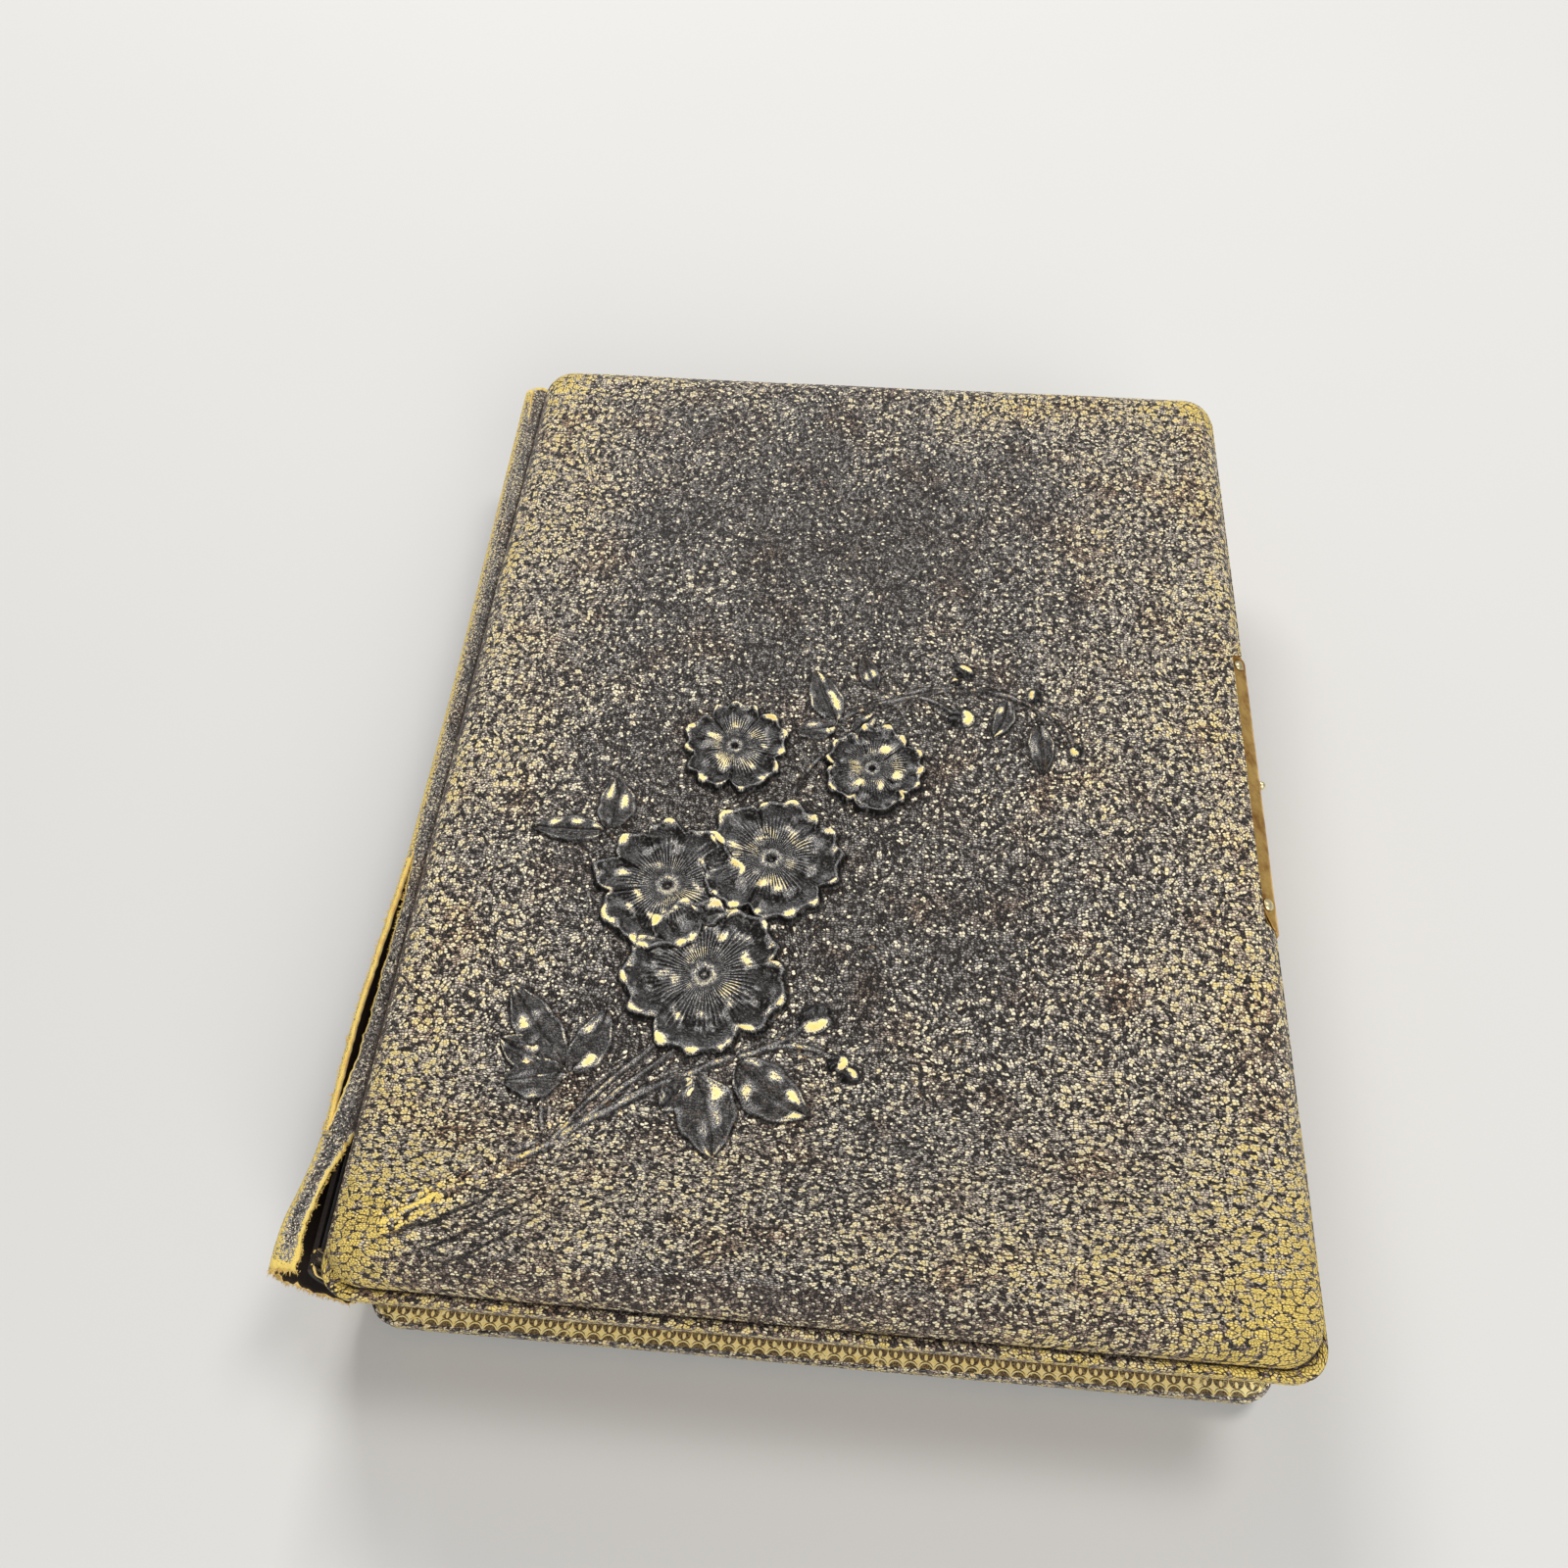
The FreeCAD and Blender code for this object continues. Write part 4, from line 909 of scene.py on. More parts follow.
def leafParts(bx, by, tx, ty, width, seed):
    # blade between two bowed edges: u along, v across; a sunk midrib, slanting veins and a rolled edge
    rng = np.random.default_rng(seed + 100)
    along = np.linspace(-0.08, 1.06, 44)
    v = np.array([0.07, 0.18, 0.34, 0.52, 0.7, 0.85, 0.93, 1])
    v = np.concatenate([-v[::-1], [0], v])
    beyond = np.array([2.4, 1.7, 1.1, 0.6, 0.25])
    length = np.hypot(tx - bx, ty - by)
    runX, runY = (tx - bx) / length, (ty - by) / length
    t = unit(along)
    half = width / 2 * np.sin(np.pi * t ** 0.82) ** 0.75 * (1 + 0.045 * np.cos(2 * np.pi * 3.2 * t + rng.uniform(0, 6)))
    half = np.where((along < 0) | (along > 1), 0.12, np.maximum(half, 0.12))
    bend = rng.uniform(-0.08, 0.08) * length * 4 * t * (1 - t)
    offsets = np.concatenate([-(half[:, None] + beyond), v * half[:, None], half[:, None] + beyond[::-1]], 1)
    sideways = offsets + bend[:, None]
    uu = along[:, None]
    x = bx + runX * uu * length - runY * sideways
    y = by + runY * uu * length + runX * sideways
    inside = ease(-0.03, 0.06, uu) * ease(1.04, 0.95, uu)
    one = np.ones((len(along), 1))
    vv = v * one
    cheek = 1 - np.abs(vv) ** 2.2
    h = 0.34 + 0.62 * cheek + 0.30 * bell(np.abs(vv), 0.95, 0.08) - 0.55 * bell(vv, 0, 0.09)
    h = h + 0.09 * np.cos(2 * np.pi * (5.5 * uu - 1.1 * np.abs(vv))) * ease(0.1, 0.4, np.abs(vv))
    h = h + 0.16 * drift(uu * 10, vv * 4, seed + 61, 6)
    h = sprayHeights["leaf"] * h
    bank = sprayHeights["bank"]

    def withBanks(blade, bank):
        # the bank's five columns stand on both sides of the blade's
        return np.concatenate([one * bank, blade, one * bank[::-1]], 1)

    h = withBanks(h, [sprayHeights["sunk"], bank * 0.4, bank, 0.02, 0.30])
    z = padTop(x, y) + (h * inside + sprayHeights["sunk"] * (1 - inside))
    smoothMark = withBanks(0.85 + 0 * vv, [0, 0, 0.1, 0.5, 0.8]) * inside
    # painted shade: dark along the midrib and round the blade's edge
    groove = withBanks(0.3 * bell(vv, 0, 0.07), [0, 0, 0.05, 0.35, 0.1]) * inside
    patchy = ease(0.15, 1.1, drift(uu * length, vv * width / 2, seed + 71, 6))
    # this mark gives gold patches where high and pale grey elsewhere, partly wear and partly a painted highlight along
    # the edges
    rubAndSheen = 0.13 + 0.8 * patchy * bell(np.abs(vv), 0.5, 0.3) + 0.12 * bell(np.abs(vv), 0.95, 0.06)
    rubAndSheen = rubAndSheen + 0.4 * bell(np.abs(vv), 0.95, 0.06) * ease(0, 0.8, drift(uu * length, 0 * vv, seed + 5, 6))
    rubAndSheen = unit(withBanks(rubAndSheen * inside, [0, 0, 0, 0, 0]))
    return shellParts(place3(x, y, z), 0.5, reliefMarks(x, y, smoothMark, rubAndSheen, groove))


def stemParts(start, middle, end, width, seed):
    # bowed line carried through its middle point, with a ridge between two grooves and low banks
    start, middle, end = (np.array(p) for p in (start, middle, end))
    length = np.hypot(*(middle - start)) + np.hypot(*(end - middle))
    t = np.linspace(-0.02, 1.02, max(10, int(length / 0.7)))[:, None]
    control = 2 * middle - 0.5 * (start + end)
    line = (1 - t) ** 2 * start + 2 * t * (1 - t) * control + t ** 2 * end
    tangent = np.gradient(line, axis=0)
    tangent = tangent / np.linalg.norm(tangent, axis=1, keepdims=True)
    w = width / 2

    def bothSides(middle, *outward):
        # a row of thirteen columns that is the same on both sides of its middle
        return np.array([*outward[::-1], middle, *outward])

    offsets = bothSides(0, 0.6 * w, w, w + 0.5, w + 1, w + 1.6, w + 2.3) * np.repeat([-1, 1], [6, 7])
    wobble = 0.25 * drift(t[:, 0] * length, 0 * t[:, 0], seed + 200, 11)
    sideways = offsets + wobble[:, None]
    x, y = line[:, :1] - tangent[:, 1:] * sideways, line[:, 1:] + tangent[:, :1] * sideways
    stem, bank, sunk = sprayHeights["stem"], sprayHeights["bank"], sprayHeights["sunk"]
    profile = bothSides(stem, 0.85 * stem, 0.12, 0.02, bank, 0.3 * bank, sunk)
    ends = ease(-0.02, 0.06, t) * ease(1.02, 0.96, t)
    h = profile * ends + sunk * (1 - ends)
    h = h + 0.07 * drift(x, y, seed + 210, 3) * ends
    z = padTop(x, y) + h
    plain = ease(-80, -50, x)
    # painted shade: dark in the grooves beside the stem
    groove = bothSides(0, 0, 0.15, 0.4, 0.05, 0, 0) * ends * (0.5 + 0.5 * plain)
    smoothMark = bothSides(0.4, 0.6, 0.9, 0.3, 0, 0, 0) * ends * plain
    worn = ease(-0.6, 0.9, drift(x, y, seed + 220, 8)) * (0.55 + 0.45 * ease(-40, -70, x) * ease(-80, -100, y))
    rubAndSheen = bothSides(0.6, 0.35, 0.1, 0, 0.3, 0.15, 0) * worn * ends
    rubAndSheen = rubAndSheen + bothSides(0.25, 0.15, 0, 0, 0.1, 0, 0) * ends * (0.4 + 0.6 * ease(-20, -60, y))
    return shellParts(place3(x, y, z), 0.45, reliefMarks(x, y, smoothMark, rubAndSheen, groove, 0.6))


def budParts(cx, cy, radius, seed):
    # domed bud with a crease down it and a groove round it
    around = 40
    theta = np.linspace(0, 2 * np.pi, around, endpoint=False)
    rho = np.array([0.02, 0.25, 0.5, 0.7, 0.85, 0.95, 1])
    beyond = np.array([0.3, 0.7, 1.3, 2])
    shape = radius * (1 + 0.12 * np.cos(2 * theta + seed))
    reach = np.concatenate([rho[:, None] * shape, shape + beyond[:, None]])
    dome = sprayHeights["leaf"] * np.sqrt(unit(1.02 - rho ** 2))[:, None]
    dome = dome - 0.35 * bell(rho[:, None] * np.sin(theta + seed), 0, 0.16) * (rho[:, None] < 0.9)
    x, y = cx + reach * np.cos(theta), cy + reach * np.sin(theta)
    z = padTop(x, y) + withSkirt(dome, 0, 0.15, 0.08, sprayHeights["sunk"])
    smoothMark = withSkirt(np.ones(dome.shape), 0.7, 0.2, 0, 0)
    # painted shade: dark in the groove round the bud
    groove = withSkirt(np.zeros(dome.shape), 0.9, 0.3, 0, 0)
    rubAndSheen = 1.1 * bell(rho[:, None], 0.6, 0.4) * ease(-0.1, 0.8, np.cos(theta - seed))
    marks = reliefMarks(x, y, smoothMark, withSkirt(unit(rubAndSheen), 0, 0, 0, 0), groove)
    return place3(x, y, z).reshape(-1, 3), tubeFaces(len(reach), around), marks


def makeSpray():
    for name, parts in (("embossedBlossoms", [blossomParts(*numbers) for numbers in blossoms]),
                        ("embossedSprigs", [make(*numbers, i) for make, rows in
                                            ((leafParts, leafShapes), (stemParts, stems), (budParts, buds))
                                            for i, numbers in enumerate(rows)])):
        dress(buildMesh(name, *joinParts(parts)), pressedLeather, "front_cover", "cover_leather")


makeSpray()
print("embossed spray made")


# Spine

spineShape = {
    "y": [-131, -126, -119, -110, -101, -76, -34, 20, 105, 131],
    "stripEnd": [-106.2, -107.6, -107.4, -104.4, -102.4, -102.4, -102.4, -102.4, -102.4, -102.4],
    "ridge": [-113.2, -114.3, -113, -110.6, -109.9, -110.2, -107.7, -107.7, -109, -109.4],
    "top": 43.2,
    "bottom": 2.6,
    "round": 2.6,
    "slack": 1.02,                 # the swollen back is this much longer than its height
    "bulge": 3,
    "footX": -108.2,
    "leather": 1.1,
    "endY": 131.2,
    "joinX": -105.3,               # where the joint strip meets the ridge above the tear
    "tearHead": (-31, -37),        # the split begins between these two
    "tearTail": (-101.6, -103.6),  # past these the cover is loose from the spine
}


def alongSpine(key, y):
    # straight runs between stations, averaged over 6 mm so that they have no corners
    table = [np.interp(y + d, spineShape["y"], spineShape[key]) for d in (-6, -3, 0, 3, 6)]
    return sum(table) / len(table)


def stripRoll(fromEnd):
    # the joint strip swells a little in the middle and dips to the cover
    return 0.4 * bell(fromEnd, 1.9, 1.25) - 0.55 * ease(0.55, -0.3, fromEnd)


def spineLevel(y):
    # width of the level strip before the ridge's turn
    return alongSpine("stripEnd", y) - (alongSpine("ridge", y) + spineShape["round"])


def backHeight():
    return spineShape["top"] - spineShape["bottom"] - 2 * spineShape["round"]


def spinePath(run, y):
    # point at a distance from the strip's inner end: level strip, quarter turn over the ridge,
    # swollen back, quarter turn at the foot and level strip again
    shape = spineShape
    stripEnd, ridge, r = alongSpine("stripEnd", y), alongSpine("ridge", y), shape["round"]
    level, height = spineLevel(y), backHeight()
    quarter = r * np.pi / 2
    back = height * shape["slack"]
    turn = np.clip((run - level) / r, 0, np.pi / 2)
    t = unit((run - level - quarter) / back)
    foot = np.clip((run - level - quarter - back) / r, 0, np.pi / 2)
    rest = np.maximum(run - level - 2 * quarter - back, 0)
    x = np.where(run < level, stripEnd - run, ridge + r - r * np.sin(turn))
    x = x + (shape["footX"] - ridge) * t - shape["bulge"] * 4 * t * (1 - t) + r * (1 - np.cos(foot)) + rest
    z = shape["top"] - r * (1 - np.cos(turn)) - height * t - r * np.sin(foot)
    z = z + stripRoll(run) * np.maximum(0, 1 - turn)
    dents = 0.35 * drift(y, z * 2, 51, 34) * ease(0, 0.25, t) * ease(1, 0.8, t)
    dents = dents + 0.18 * drift(y, z * 2, 52, 11) * ease(0, 0.1, t)
    return x + dents, z


def jag(y, seed, size):
    # torn outline: coarse and fine waves together
    return size * (0.6 * drift(y, 0 * y, seed, 5.5) + 0.4 * drift(y, 0 * y, seed + 1, 1.7))


def tornPiece(name, points, thickness, marks, materials, body, *nodes):
    # closed sheet whose inner face and border have materials of their own
    piece = buildMesh(name, *shellParts(points, thickness, marks))
    rows, columns = points.shape[:2]
    each = (rows - 1) * (columns - 1)
    dress(piece, materials[0], body, "cover_leather", *nodes)
    for material in materials[1:]:
        piece.data.materials.append(material)
    slots = np.repeat([0, 1, 2], [each, each, len(piece.data.polygons) - 2 * each]).astype(np.int32)
    piece.data.polygons.foreach_set("material_index", slots)
    return piece


def blendFront(piece):
    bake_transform(piece)


spineLayers = (spineLeatherLook, fleshSide, tornHide)


def makeSpine():
    shape = spineShape
    y, s = strip(-shape["endY"], shape["endY"], 330, 54)
    s = s ** 1.25
    stripEnd, level = alongSpine("stripEnd", y), spineLevel(y)
    tail = ease(*shape["tearTail"], y)
    torn = ease(*shape["tearHead"], y) * ease(*shape["tearTail"][::-1], y)
    first = (stripEnd - shape["joinX"]) * (1 - torn) * (1 - tail)
    first = first + torn * (level + 1.25 + jag(y, 61, 0.35)) + tail * np.maximum(jag(y, 63, 0.35), -0.2)
    first = first + 1.3 * ease(115, 131, y)
    last = level + shape["round"] * np.pi * 0.75 + backHeight() * shape["slack"]
    run = first + (last - first) * s
    x, z = spinePath(run, y)
    ends = jag(run[:1] + 0 * run, 66, 0.5) * ease(shape["endY"] - 4, shape["endY"], np.abs(y)) * np.sign(y)
    flare = ease(-106, -112, y) * 0.6 * bell(run, 0, 1.2)
    points = place3(x, y + ends, z + flare)
    fromTear = run - first
    isTorn = unit(torn * ease(-101.6, -100.6, y) + ease(-103.2, -104.2, y) + 0.7 * ease(115, 120, y))
    toEnd = shape["endY"] - np.abs(y)
    wear = 0.22 + 0.06 * drift(y, z * 2, 71, 16) + 0.7 * bell(run, level + 2.2, 1.7) + 0.25 * bell(z, 6, 4)
    wear = wear + 0.35 * ease(12, 0, toEnd) + 0.12 * tail * bell(run, 0.5, 1.3)
    onFlap = ease(-101, -107, y)
    rubAndSheen = np.maximum(isTorn * ease(0.9 + 0.9 * onFlap, 0.1, fromTear + jag(y, 74, 0.3)),
                     0.75 * ease(6, 0.8, toEnd + jag(y + z, 73, 1.6)))
    rubAndSheen = np.maximum(rubAndSheen, 0.64 * bell(run, level + 2.4 - 0.5 * onFlap, 1.2 + 0.2 * onFlap))
    rubAndSheen = np.clip(rubAndSheen, 0, 0.9)
    marks = {"flatX": run, "flatY": y, "wear": unit(wear), "rubAndSheen": rubAndSheen}
    tornPiece("spineLeather", points, shape["leather"], marks, spineLayers, "book_block", "spine_leather")
    return y[:, 0], stripEnd[:, 0] - first[:, 0]


def makeFrontJoint(edgeY, edgeX):
    # rolled strip between the cover and the ridge
    shape = spineShape
    y, s = strip(-104.3, 132, 300, 16)
    torn = ease(*shape["tearHead"], y) * ease(-102.2, -100.2, y)
    # the split narrows to a point at its tail end
    tornEdge = np.interp(y, [-103, -97, -90, -80, -60], [-109.2, -107.8, -106.8, -105.9, shape["joinX"]]) - 0.1
    left = np.interp(y, edgeY, edgeX) - 0.05
    left = np.where((torn > 0) | (y < -100), tornEdge + jag(y, 81, 0.35) * torn, left)
    left = np.where(y < -102.6, np.maximum(left, np.interp(y, edgeY, edgeX) - 4.5), left)
    left = left + 0.5 * ease(117, 131, y)
    right = -101.75 + 0.12 * drift(y, 0 * y, 83, 30) - 0.75 * ease(-99.5, -103.5, y)
    x = right + (left - right) * s
    d = -102.4 - x
    z = shape["top"] + stripRoll(d) + 0.08 * drift(x, y, 85, 9) * ease(-103, -98, y)
    z = z - torn * 0.75 * ease(0.72, 1, s) * ease(-97, -86, y) - 1.1 * ease(-106.4, -109.4, x)
    toEnd = 132 - y
    wear = 0.24 + 0.08 * drift(x, y, 86, 10) + 0.25 * ease(6, 0, toEnd) + 0.3 * ease(0.8, 1, s) * ease(-60, 40, y)
    rubAndSheen = np.maximum(torn * ease(0.84, 0.97, s), ease(1.8, 0.4, toEnd))
    rubAndSheen = np.maximum(rubAndSheen, ease(-101, -102.5, y) * ease(0.25, 0, s))
    # the groove mark is painted shade along the strip's edge by the cover
    marks = {"wear": unit(wear), "rubAndSheen": rubAndSheen, "smooth": 0.95 * ease(0.34, 0.05, s),
             "groove": 0.5 * bell(s, 0.04, 0.09), "brown": 0.85 * ease(0.36, 0.08, s)}
    blendFront(tornPiece("frontJointLeather", place3(x, y, z), 1, marks, spineLayers, None))


def makeBackJoint():
    # strip from the spine's foot to the back cover
    y, s = strip(-130.6, 130.6, 200, 14)
    radius = spineShape["round"]
    start = spineLevel(y) + radius * np.pi * 0.74 + backHeight() * spineShape["slack"]
    run = start + (radius * np.pi * 0.26 + 3.6) * s
    x, z = spinePath(run, y)
    marks = {"flatX": run, "flatY": y, "wear": 0.35 + 0.1 * drift(x, y, 91, 14),
             "rubAndSheen": ease(1.6, 0.3, 130.6 - np.abs(y))}
    piece = tornPiece("backJointLeather", place3(x, y, z), 1, marks, spineLayers, None)
    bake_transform(piece)


def fibreParts(roots, directions, lengths, seed):
    # each fibre is a three-sided taper of three rows that bends over its own length
    rng = np.random.default_rng(seed)
    count = len(roots)
    heading = directions / np.linalg.norm(directions, axis=1, keepdims=True)
    sideways = np.cross(heading, rng.normal(size=(count, 3)))
    sideways = sideways / np.linalg.norm(sideways, axis=1, keepdims=True)
    third = np.cross(heading, sideways)
    t = np.array([0, 0.55, 1])
    bend = rng.uniform(-0.6, 0.6, count)[:, None, None]
    line = roots[:, None, :] + heading[:, None, :] * (lengths[:, None, None] * t[None, :, None])
    line = line + sideways[:, None, :] * bend * lengths[:, None, None] * (t ** 2)[None, :, None]
    radius = 0.11 * rng.uniform(0.6, 1.5, count)[:, None] * np.array([1, 0.7, 0.12])
    turns = (2 * np.pi * np.arange(3) / 3)[:, None]
    ring = sideways[:, None, None, :] * np.cos(turns) + third[:, None, None, :] * np.sin(turns)
    points = line[:, :, None, :] + ring * radius[:, :, None, None]
    quads = gridFaces(3, 3, closeColumns=True)
    offset = (np.arange(count) * 9)[:, None, None]
    faces = [(quads[None] + offset).reshape(-1, 4), (np.array([[0, 2, 1], [6, 7, 8]])[None] + offset).reshape(-1, 3)]
    return points.reshape(-1, 3), faces, {}


fibreCounts = {"split": 620, "ends": 420, "joint": 420}


def makeFibres(edgeY, edgeX):
    rng = np.random.default_rng(7)
    # along the split beside the ridge and the tail's torn edge
    y = rng.uniform(-130.5, -34, fibreCounts["split"])
    x = np.interp(y, edgeY, edgeX)
    onTail = y < -103
    x = np.where(onTail, x, alongSpine("ridge", y) + rng.uniform(0.1, 1.3, len(y)))
    roots = place3(x, y, np.where(onTail, 43, 41.9) + rng.uniform(-0.5, 0.1, len(y)))
    way = place3(rng.normal(0, 0.7, len(y)), rng.normal(0, 0.5, len(y)), rng.uniform(0.1, 1, len(y)))
    first = fibreParts(roots, way, rng.uniform(0.4, 1.1, len(y)), 8)
    # round the spine's tail and head ends
    count = fibreCounts["ends"]
    end = np.where(rng.uniform(size=count) < 0.7, -1, 1)
    y = end * (spineShape["endY"] - 0.3)
    run = rng.uniform(0, 46, count)
    x, z = spinePath(run, y)
    roots = place3(x + rng.uniform(0, 0.9, count), y, z)
    way = place3(rng.normal(0, 0.5, count), end * rng.uniform(0.4, 1.2, count), rng.normal(0.1, 0.5, count))
    second = fibreParts(roots, way, rng.uniform(0.5, 1.5, count), 9)
    piece = buildMesh("spineTornFibres", *joinParts([first, second]))
    dress(piece, tornHide, "book_block", "cover_leather")
    # along the joint strip's torn edge
    y = rng.uniform(-102, -36, fibreCounts["joint"])
    roots = place3(spineShape["joinX"], y, 42.45 + rng.uniform(-0.4, 0.2, len(y)))
    way = place3(-rng.uniform(0.3, 1, len(y)), rng.normal(0, 0.6, len(y)), rng.normal(0.1, 0.5, len(y)))
    piece = buildMesh("jointTornFibres", *fibreParts(roots, way, rng.uniform(0.3, 0.9, len(y)), 10))
    dress(piece, tornHide, None, "cover_leather")
    blendFront(piece)


def makeTornFin():
    # loose curl of leather inside the open tail joint
    y, s = strip(-123, -130.8, 40, 9)
    x = np.interp(-y, [123, 125.1, 127.2, 129, 130.8], [-104.6, -105.4, -106, -105.6, -104.8])
    x = x + 0.9 * (1 - s) ** 2 + 0.2 * drift(y, s * 9, 95, 4)
    z = 27 + (12 * ease(-122, -126.5, y) + 0.8 * jag(y, 97, 1)) * s
    marks = {"wear": 0.3 + 0 * x, "rubAndSheen": 0.8 * ease(0.86, 1, s), "smooth": 0.5 + 0 * x}
    tornPiece("tornTailCurl", place3(x, y, z), 0.4, marks, (fleshSide, spineLeatherLook, tornHide), "book_block")


tearY, tearX = makeSpine()
makeFrontJoint(tearY, tearX)
makeBackJoint()
makeFibres(tearY, tearX)
makeTornFin()
print("spine and torn joints made")


# Block of leaves

blockShape = {
    "count": 15, "bottom": 9, "top": 37.2, "gap": 0.25, "spineX": -103.5, "foreX": 96, "halfLength": 129.5,
    "corner": 4, "window": (98, 140), "windowDepth": 0.9, "windowX": -3.75,
}


def roundedOutline(lowX, highX, halfY, corner, spacing):
    # closed outline: four straight sides and four quarter circles, counter-clockwise
    pieces = []
    for cx, cy, base in ((highX - corner, halfY - corner, 0), (lowX + corner, halfY - corner, 90),
                         (lowX + corner, corner - halfY, 180), (highX - corner, corner - halfY, 270)):
        a = np.radians(np.linspace(base, base + 90, 9))
        pieces.append(np.c_[cx + corner * np.cos(a), cy + corner * np.sin(a)])
    loop = []
    for here, after in zip(pieces, pieces[1:] + pieces[:1]):
        loop.append(here)
        steps = max(2, int(np.hypot(*(after[0] - here[-1])) / spacing))
        t = np.linspace(0, 1, steps + 1)[1:-1, None]
        loop.append(here[-1] + (after[0] - here[-1]) * t)
    return np.concatenate(loop)


def drawnIn(outline, insets):
    # rings of an outline scaled toward its centre; insets are millimetres at its farthest points
    centre = outline.mean(0)
    size = np.abs(outline - centre).max(0)
    return centre + (outline - centre)[None] * (1 - np.array(insets)[:, None, None] / size)


def leafOutline(wider=0):
    shape = blockShape
    return roundedOutline(shape["spineX"] + 0.3, shape["foreX"] - 0.3 + wider, shape["halfLength"] - 0.3,
                          shape["corner"], 6)


def leafSheetParts(index, low, high):
    # card with softened edges: outline rings from the lower face round the edge to the upper face
    shiftX, shiftY = np.random.default_rng(index + 300).uniform(-0.22, 0.22, 2)
    outline = leafOutline(shiftX)
    heights = np.array([0, 0, 0.12, 0.35, 0.65, 0.88, 1, 1])
    rings = drawnIn(outline, [3, 0.35, 0.08, 0, 0, 0.08, 0.35, 3])
    wave = 0.05 * drift(outline[:, 0], outline[:, 1], index + 310, 90)
    z = low + (high - low) * heights[:, None] + wave * ((heights > 0) & (heights < 1))[:, None]
    points = place3(rings[..., 0], rings[..., 1] + shiftY * 0.6, z)
    gilt = np.array([0, 0.2, 1, 1, 1, 1, 0.2, 0])[:, None] * np.ones(len(outline))
    return points.reshape(-1, 3), tubeFaces(len(heights), len(outline), flip=True), {"gilt": gilt}


def coreParts(low, high):
    # card between two leaves, set back from their edges
    shape = blockShape
    outline = roundedOutline(shape["spineX"] + 1.5, shape["foreX"] - 1.6, shape["halfLength"] - 1.6, 3, 12)
    n = len(outline)
    pair = np.concatenate([np.c_[outline, np.full(n, low)], np.c_[outline, np.full(n, high)]])
    return pair, tubeFaces(2, n, flip=True), {"gilt": np.zeros(2 * n)}


def topRimParts(low, top):
    # the upper leaf's rim stands round the sunk grid
    outline = leafOutline()
    rings = drawnIn(outline, [3.3, 0.08, 0, 0, 0.08, 0.35, 1.5, 3.3, 3.3])
    heights = np.array([low, low, low + 0.2, top - 0.4, top - 0.1, top, top + 0.02, top + 0.03, low])
    gilt = np.array([0, 1, 1, 1, 1, 0.2, 0, 0, 0])[:, None] * np.ones(len(outline))
    faces = gridFaces(len(heights), len(outline), closeColumns=True, flip=True)
    return place3(rings[..., 0], rings[..., 1], heights[:, None]).reshape(-1, 3), [faces], {"gilt": gilt}


def topPageParts(high):
    # upper leaf: a grid whose middle sinks to the window's bed through a bevel
    shape = blockShape
    halfX, halfY = shape["window"][0] / 2, shape["window"][1] / 2

    def lines(first, last, a, b):
        near = np.array([-0.9, -0.35, 0, 0.35, 0.9])
        return np.unique(np.round(np.concatenate([np.linspace(first, last, 50), a + near, b + near]), 3))

    xs = lines(shape["spineX"] + 3.4, shape["foreX"] - 3.4, shape["windowX"] - halfX, shape["windowX"] + halfX)
    ys = lines(3.4 - shape["halfLength"], shape["halfLength"] - 3.4, -halfY, halfY)
    x, y = np.meshgrid(xs, ys, indexing="ij")
    inside = np.minimum(halfX - np.abs(x - shape["windowX"]), halfY - np.abs(y))
    z = high + 0.02 - shape["windowDepth"] * ease(-0.4, 0.45, inside)
    return shellParts(place3(x, y, z), 0.3, {"gilt": 0 * x})


def giltCardMaterial():
    material, s, shader, place = newMaterial("giltCard")
    paper, roughness, fibres = useGroup(s, paperGroup, Vector=place, Clean="EADFC4", Stain="CDB78C")
    gilt = s.mark("gilt")
    cloud = s.noise(place, 180, 4, 0.6)
    rubbed = s.step(cloud, 0.42, 0.66)
    # thin gilt lines round the window: away is the distance outward from its edge
    halfX, halfY = (side / 2 * mm for side in blockShape["window"])
    x, y, z = s.axes(place)
    away = s.most(abs(x - blockShape["windowX"] * mm) - halfX, abs(y) - halfY)
    onTop = s.step(z, 0.0361, 0.0363)
    frameLine = s.step(abs(away - 0.0040), 0.0005, 0.0003) * onTop
    hairLine = s.step(abs(away - 0.0060), 0.00025, 0.0001) * onTop
    mask = s.most(gilt, s.most(frameLine, hairLine) * s.step(cloud, 0.62, 0.5))
    body = s.mix(s.step(away, -0.0003, -0.0008) * onTop, paper, "A08A66")
    body = s.mix(mask, body, s.mix(rubbed, "B98A3C", "8C6B3E"))
    ridges = s.noise(s.vector("MULTIPLY", place, (0.3, 0.3, 6)), 900, 2)
    s.fill(shader, Metallic=mask * s.blendValue(rubbed, 0.85, 0.3))
    s.finish(shader, (body, s.blendValue(mask, roughness, 0.42), s.blendValue(gilt, fibres, ridges)), 0.35, 0.00012)
    return material


def makePages():
    # every leaf but the upper one is a plain card; the upper one is a card, a rim and a grid with the window
    shape = blockShape
    last, top = shape["count"] - 1, shape["top"]
    thick = (top - shape["bottom"] - last * shape["gap"]) / shape["count"]
    parts = []
    for i in range(shape["count"]):
        low = shape["bottom"] + i * (thick + shape["gap"])
        high = low + thick
        parts.append(leafSheetParts(i, low, high - (1.25 if i == last else 0)))
        if i < last:
            parts.append(coreParts(high - 0.1, high + shape["gap"] + 0.1))
    parts += [topRimParts(top - 1.3, top), topPageParts(top)]
    dress(buildMesh("cardPages", *joinParts(parts)), giltCardMaterial(), "book_block", "card_leaves", "leaves")


makePages()
print("pages made")


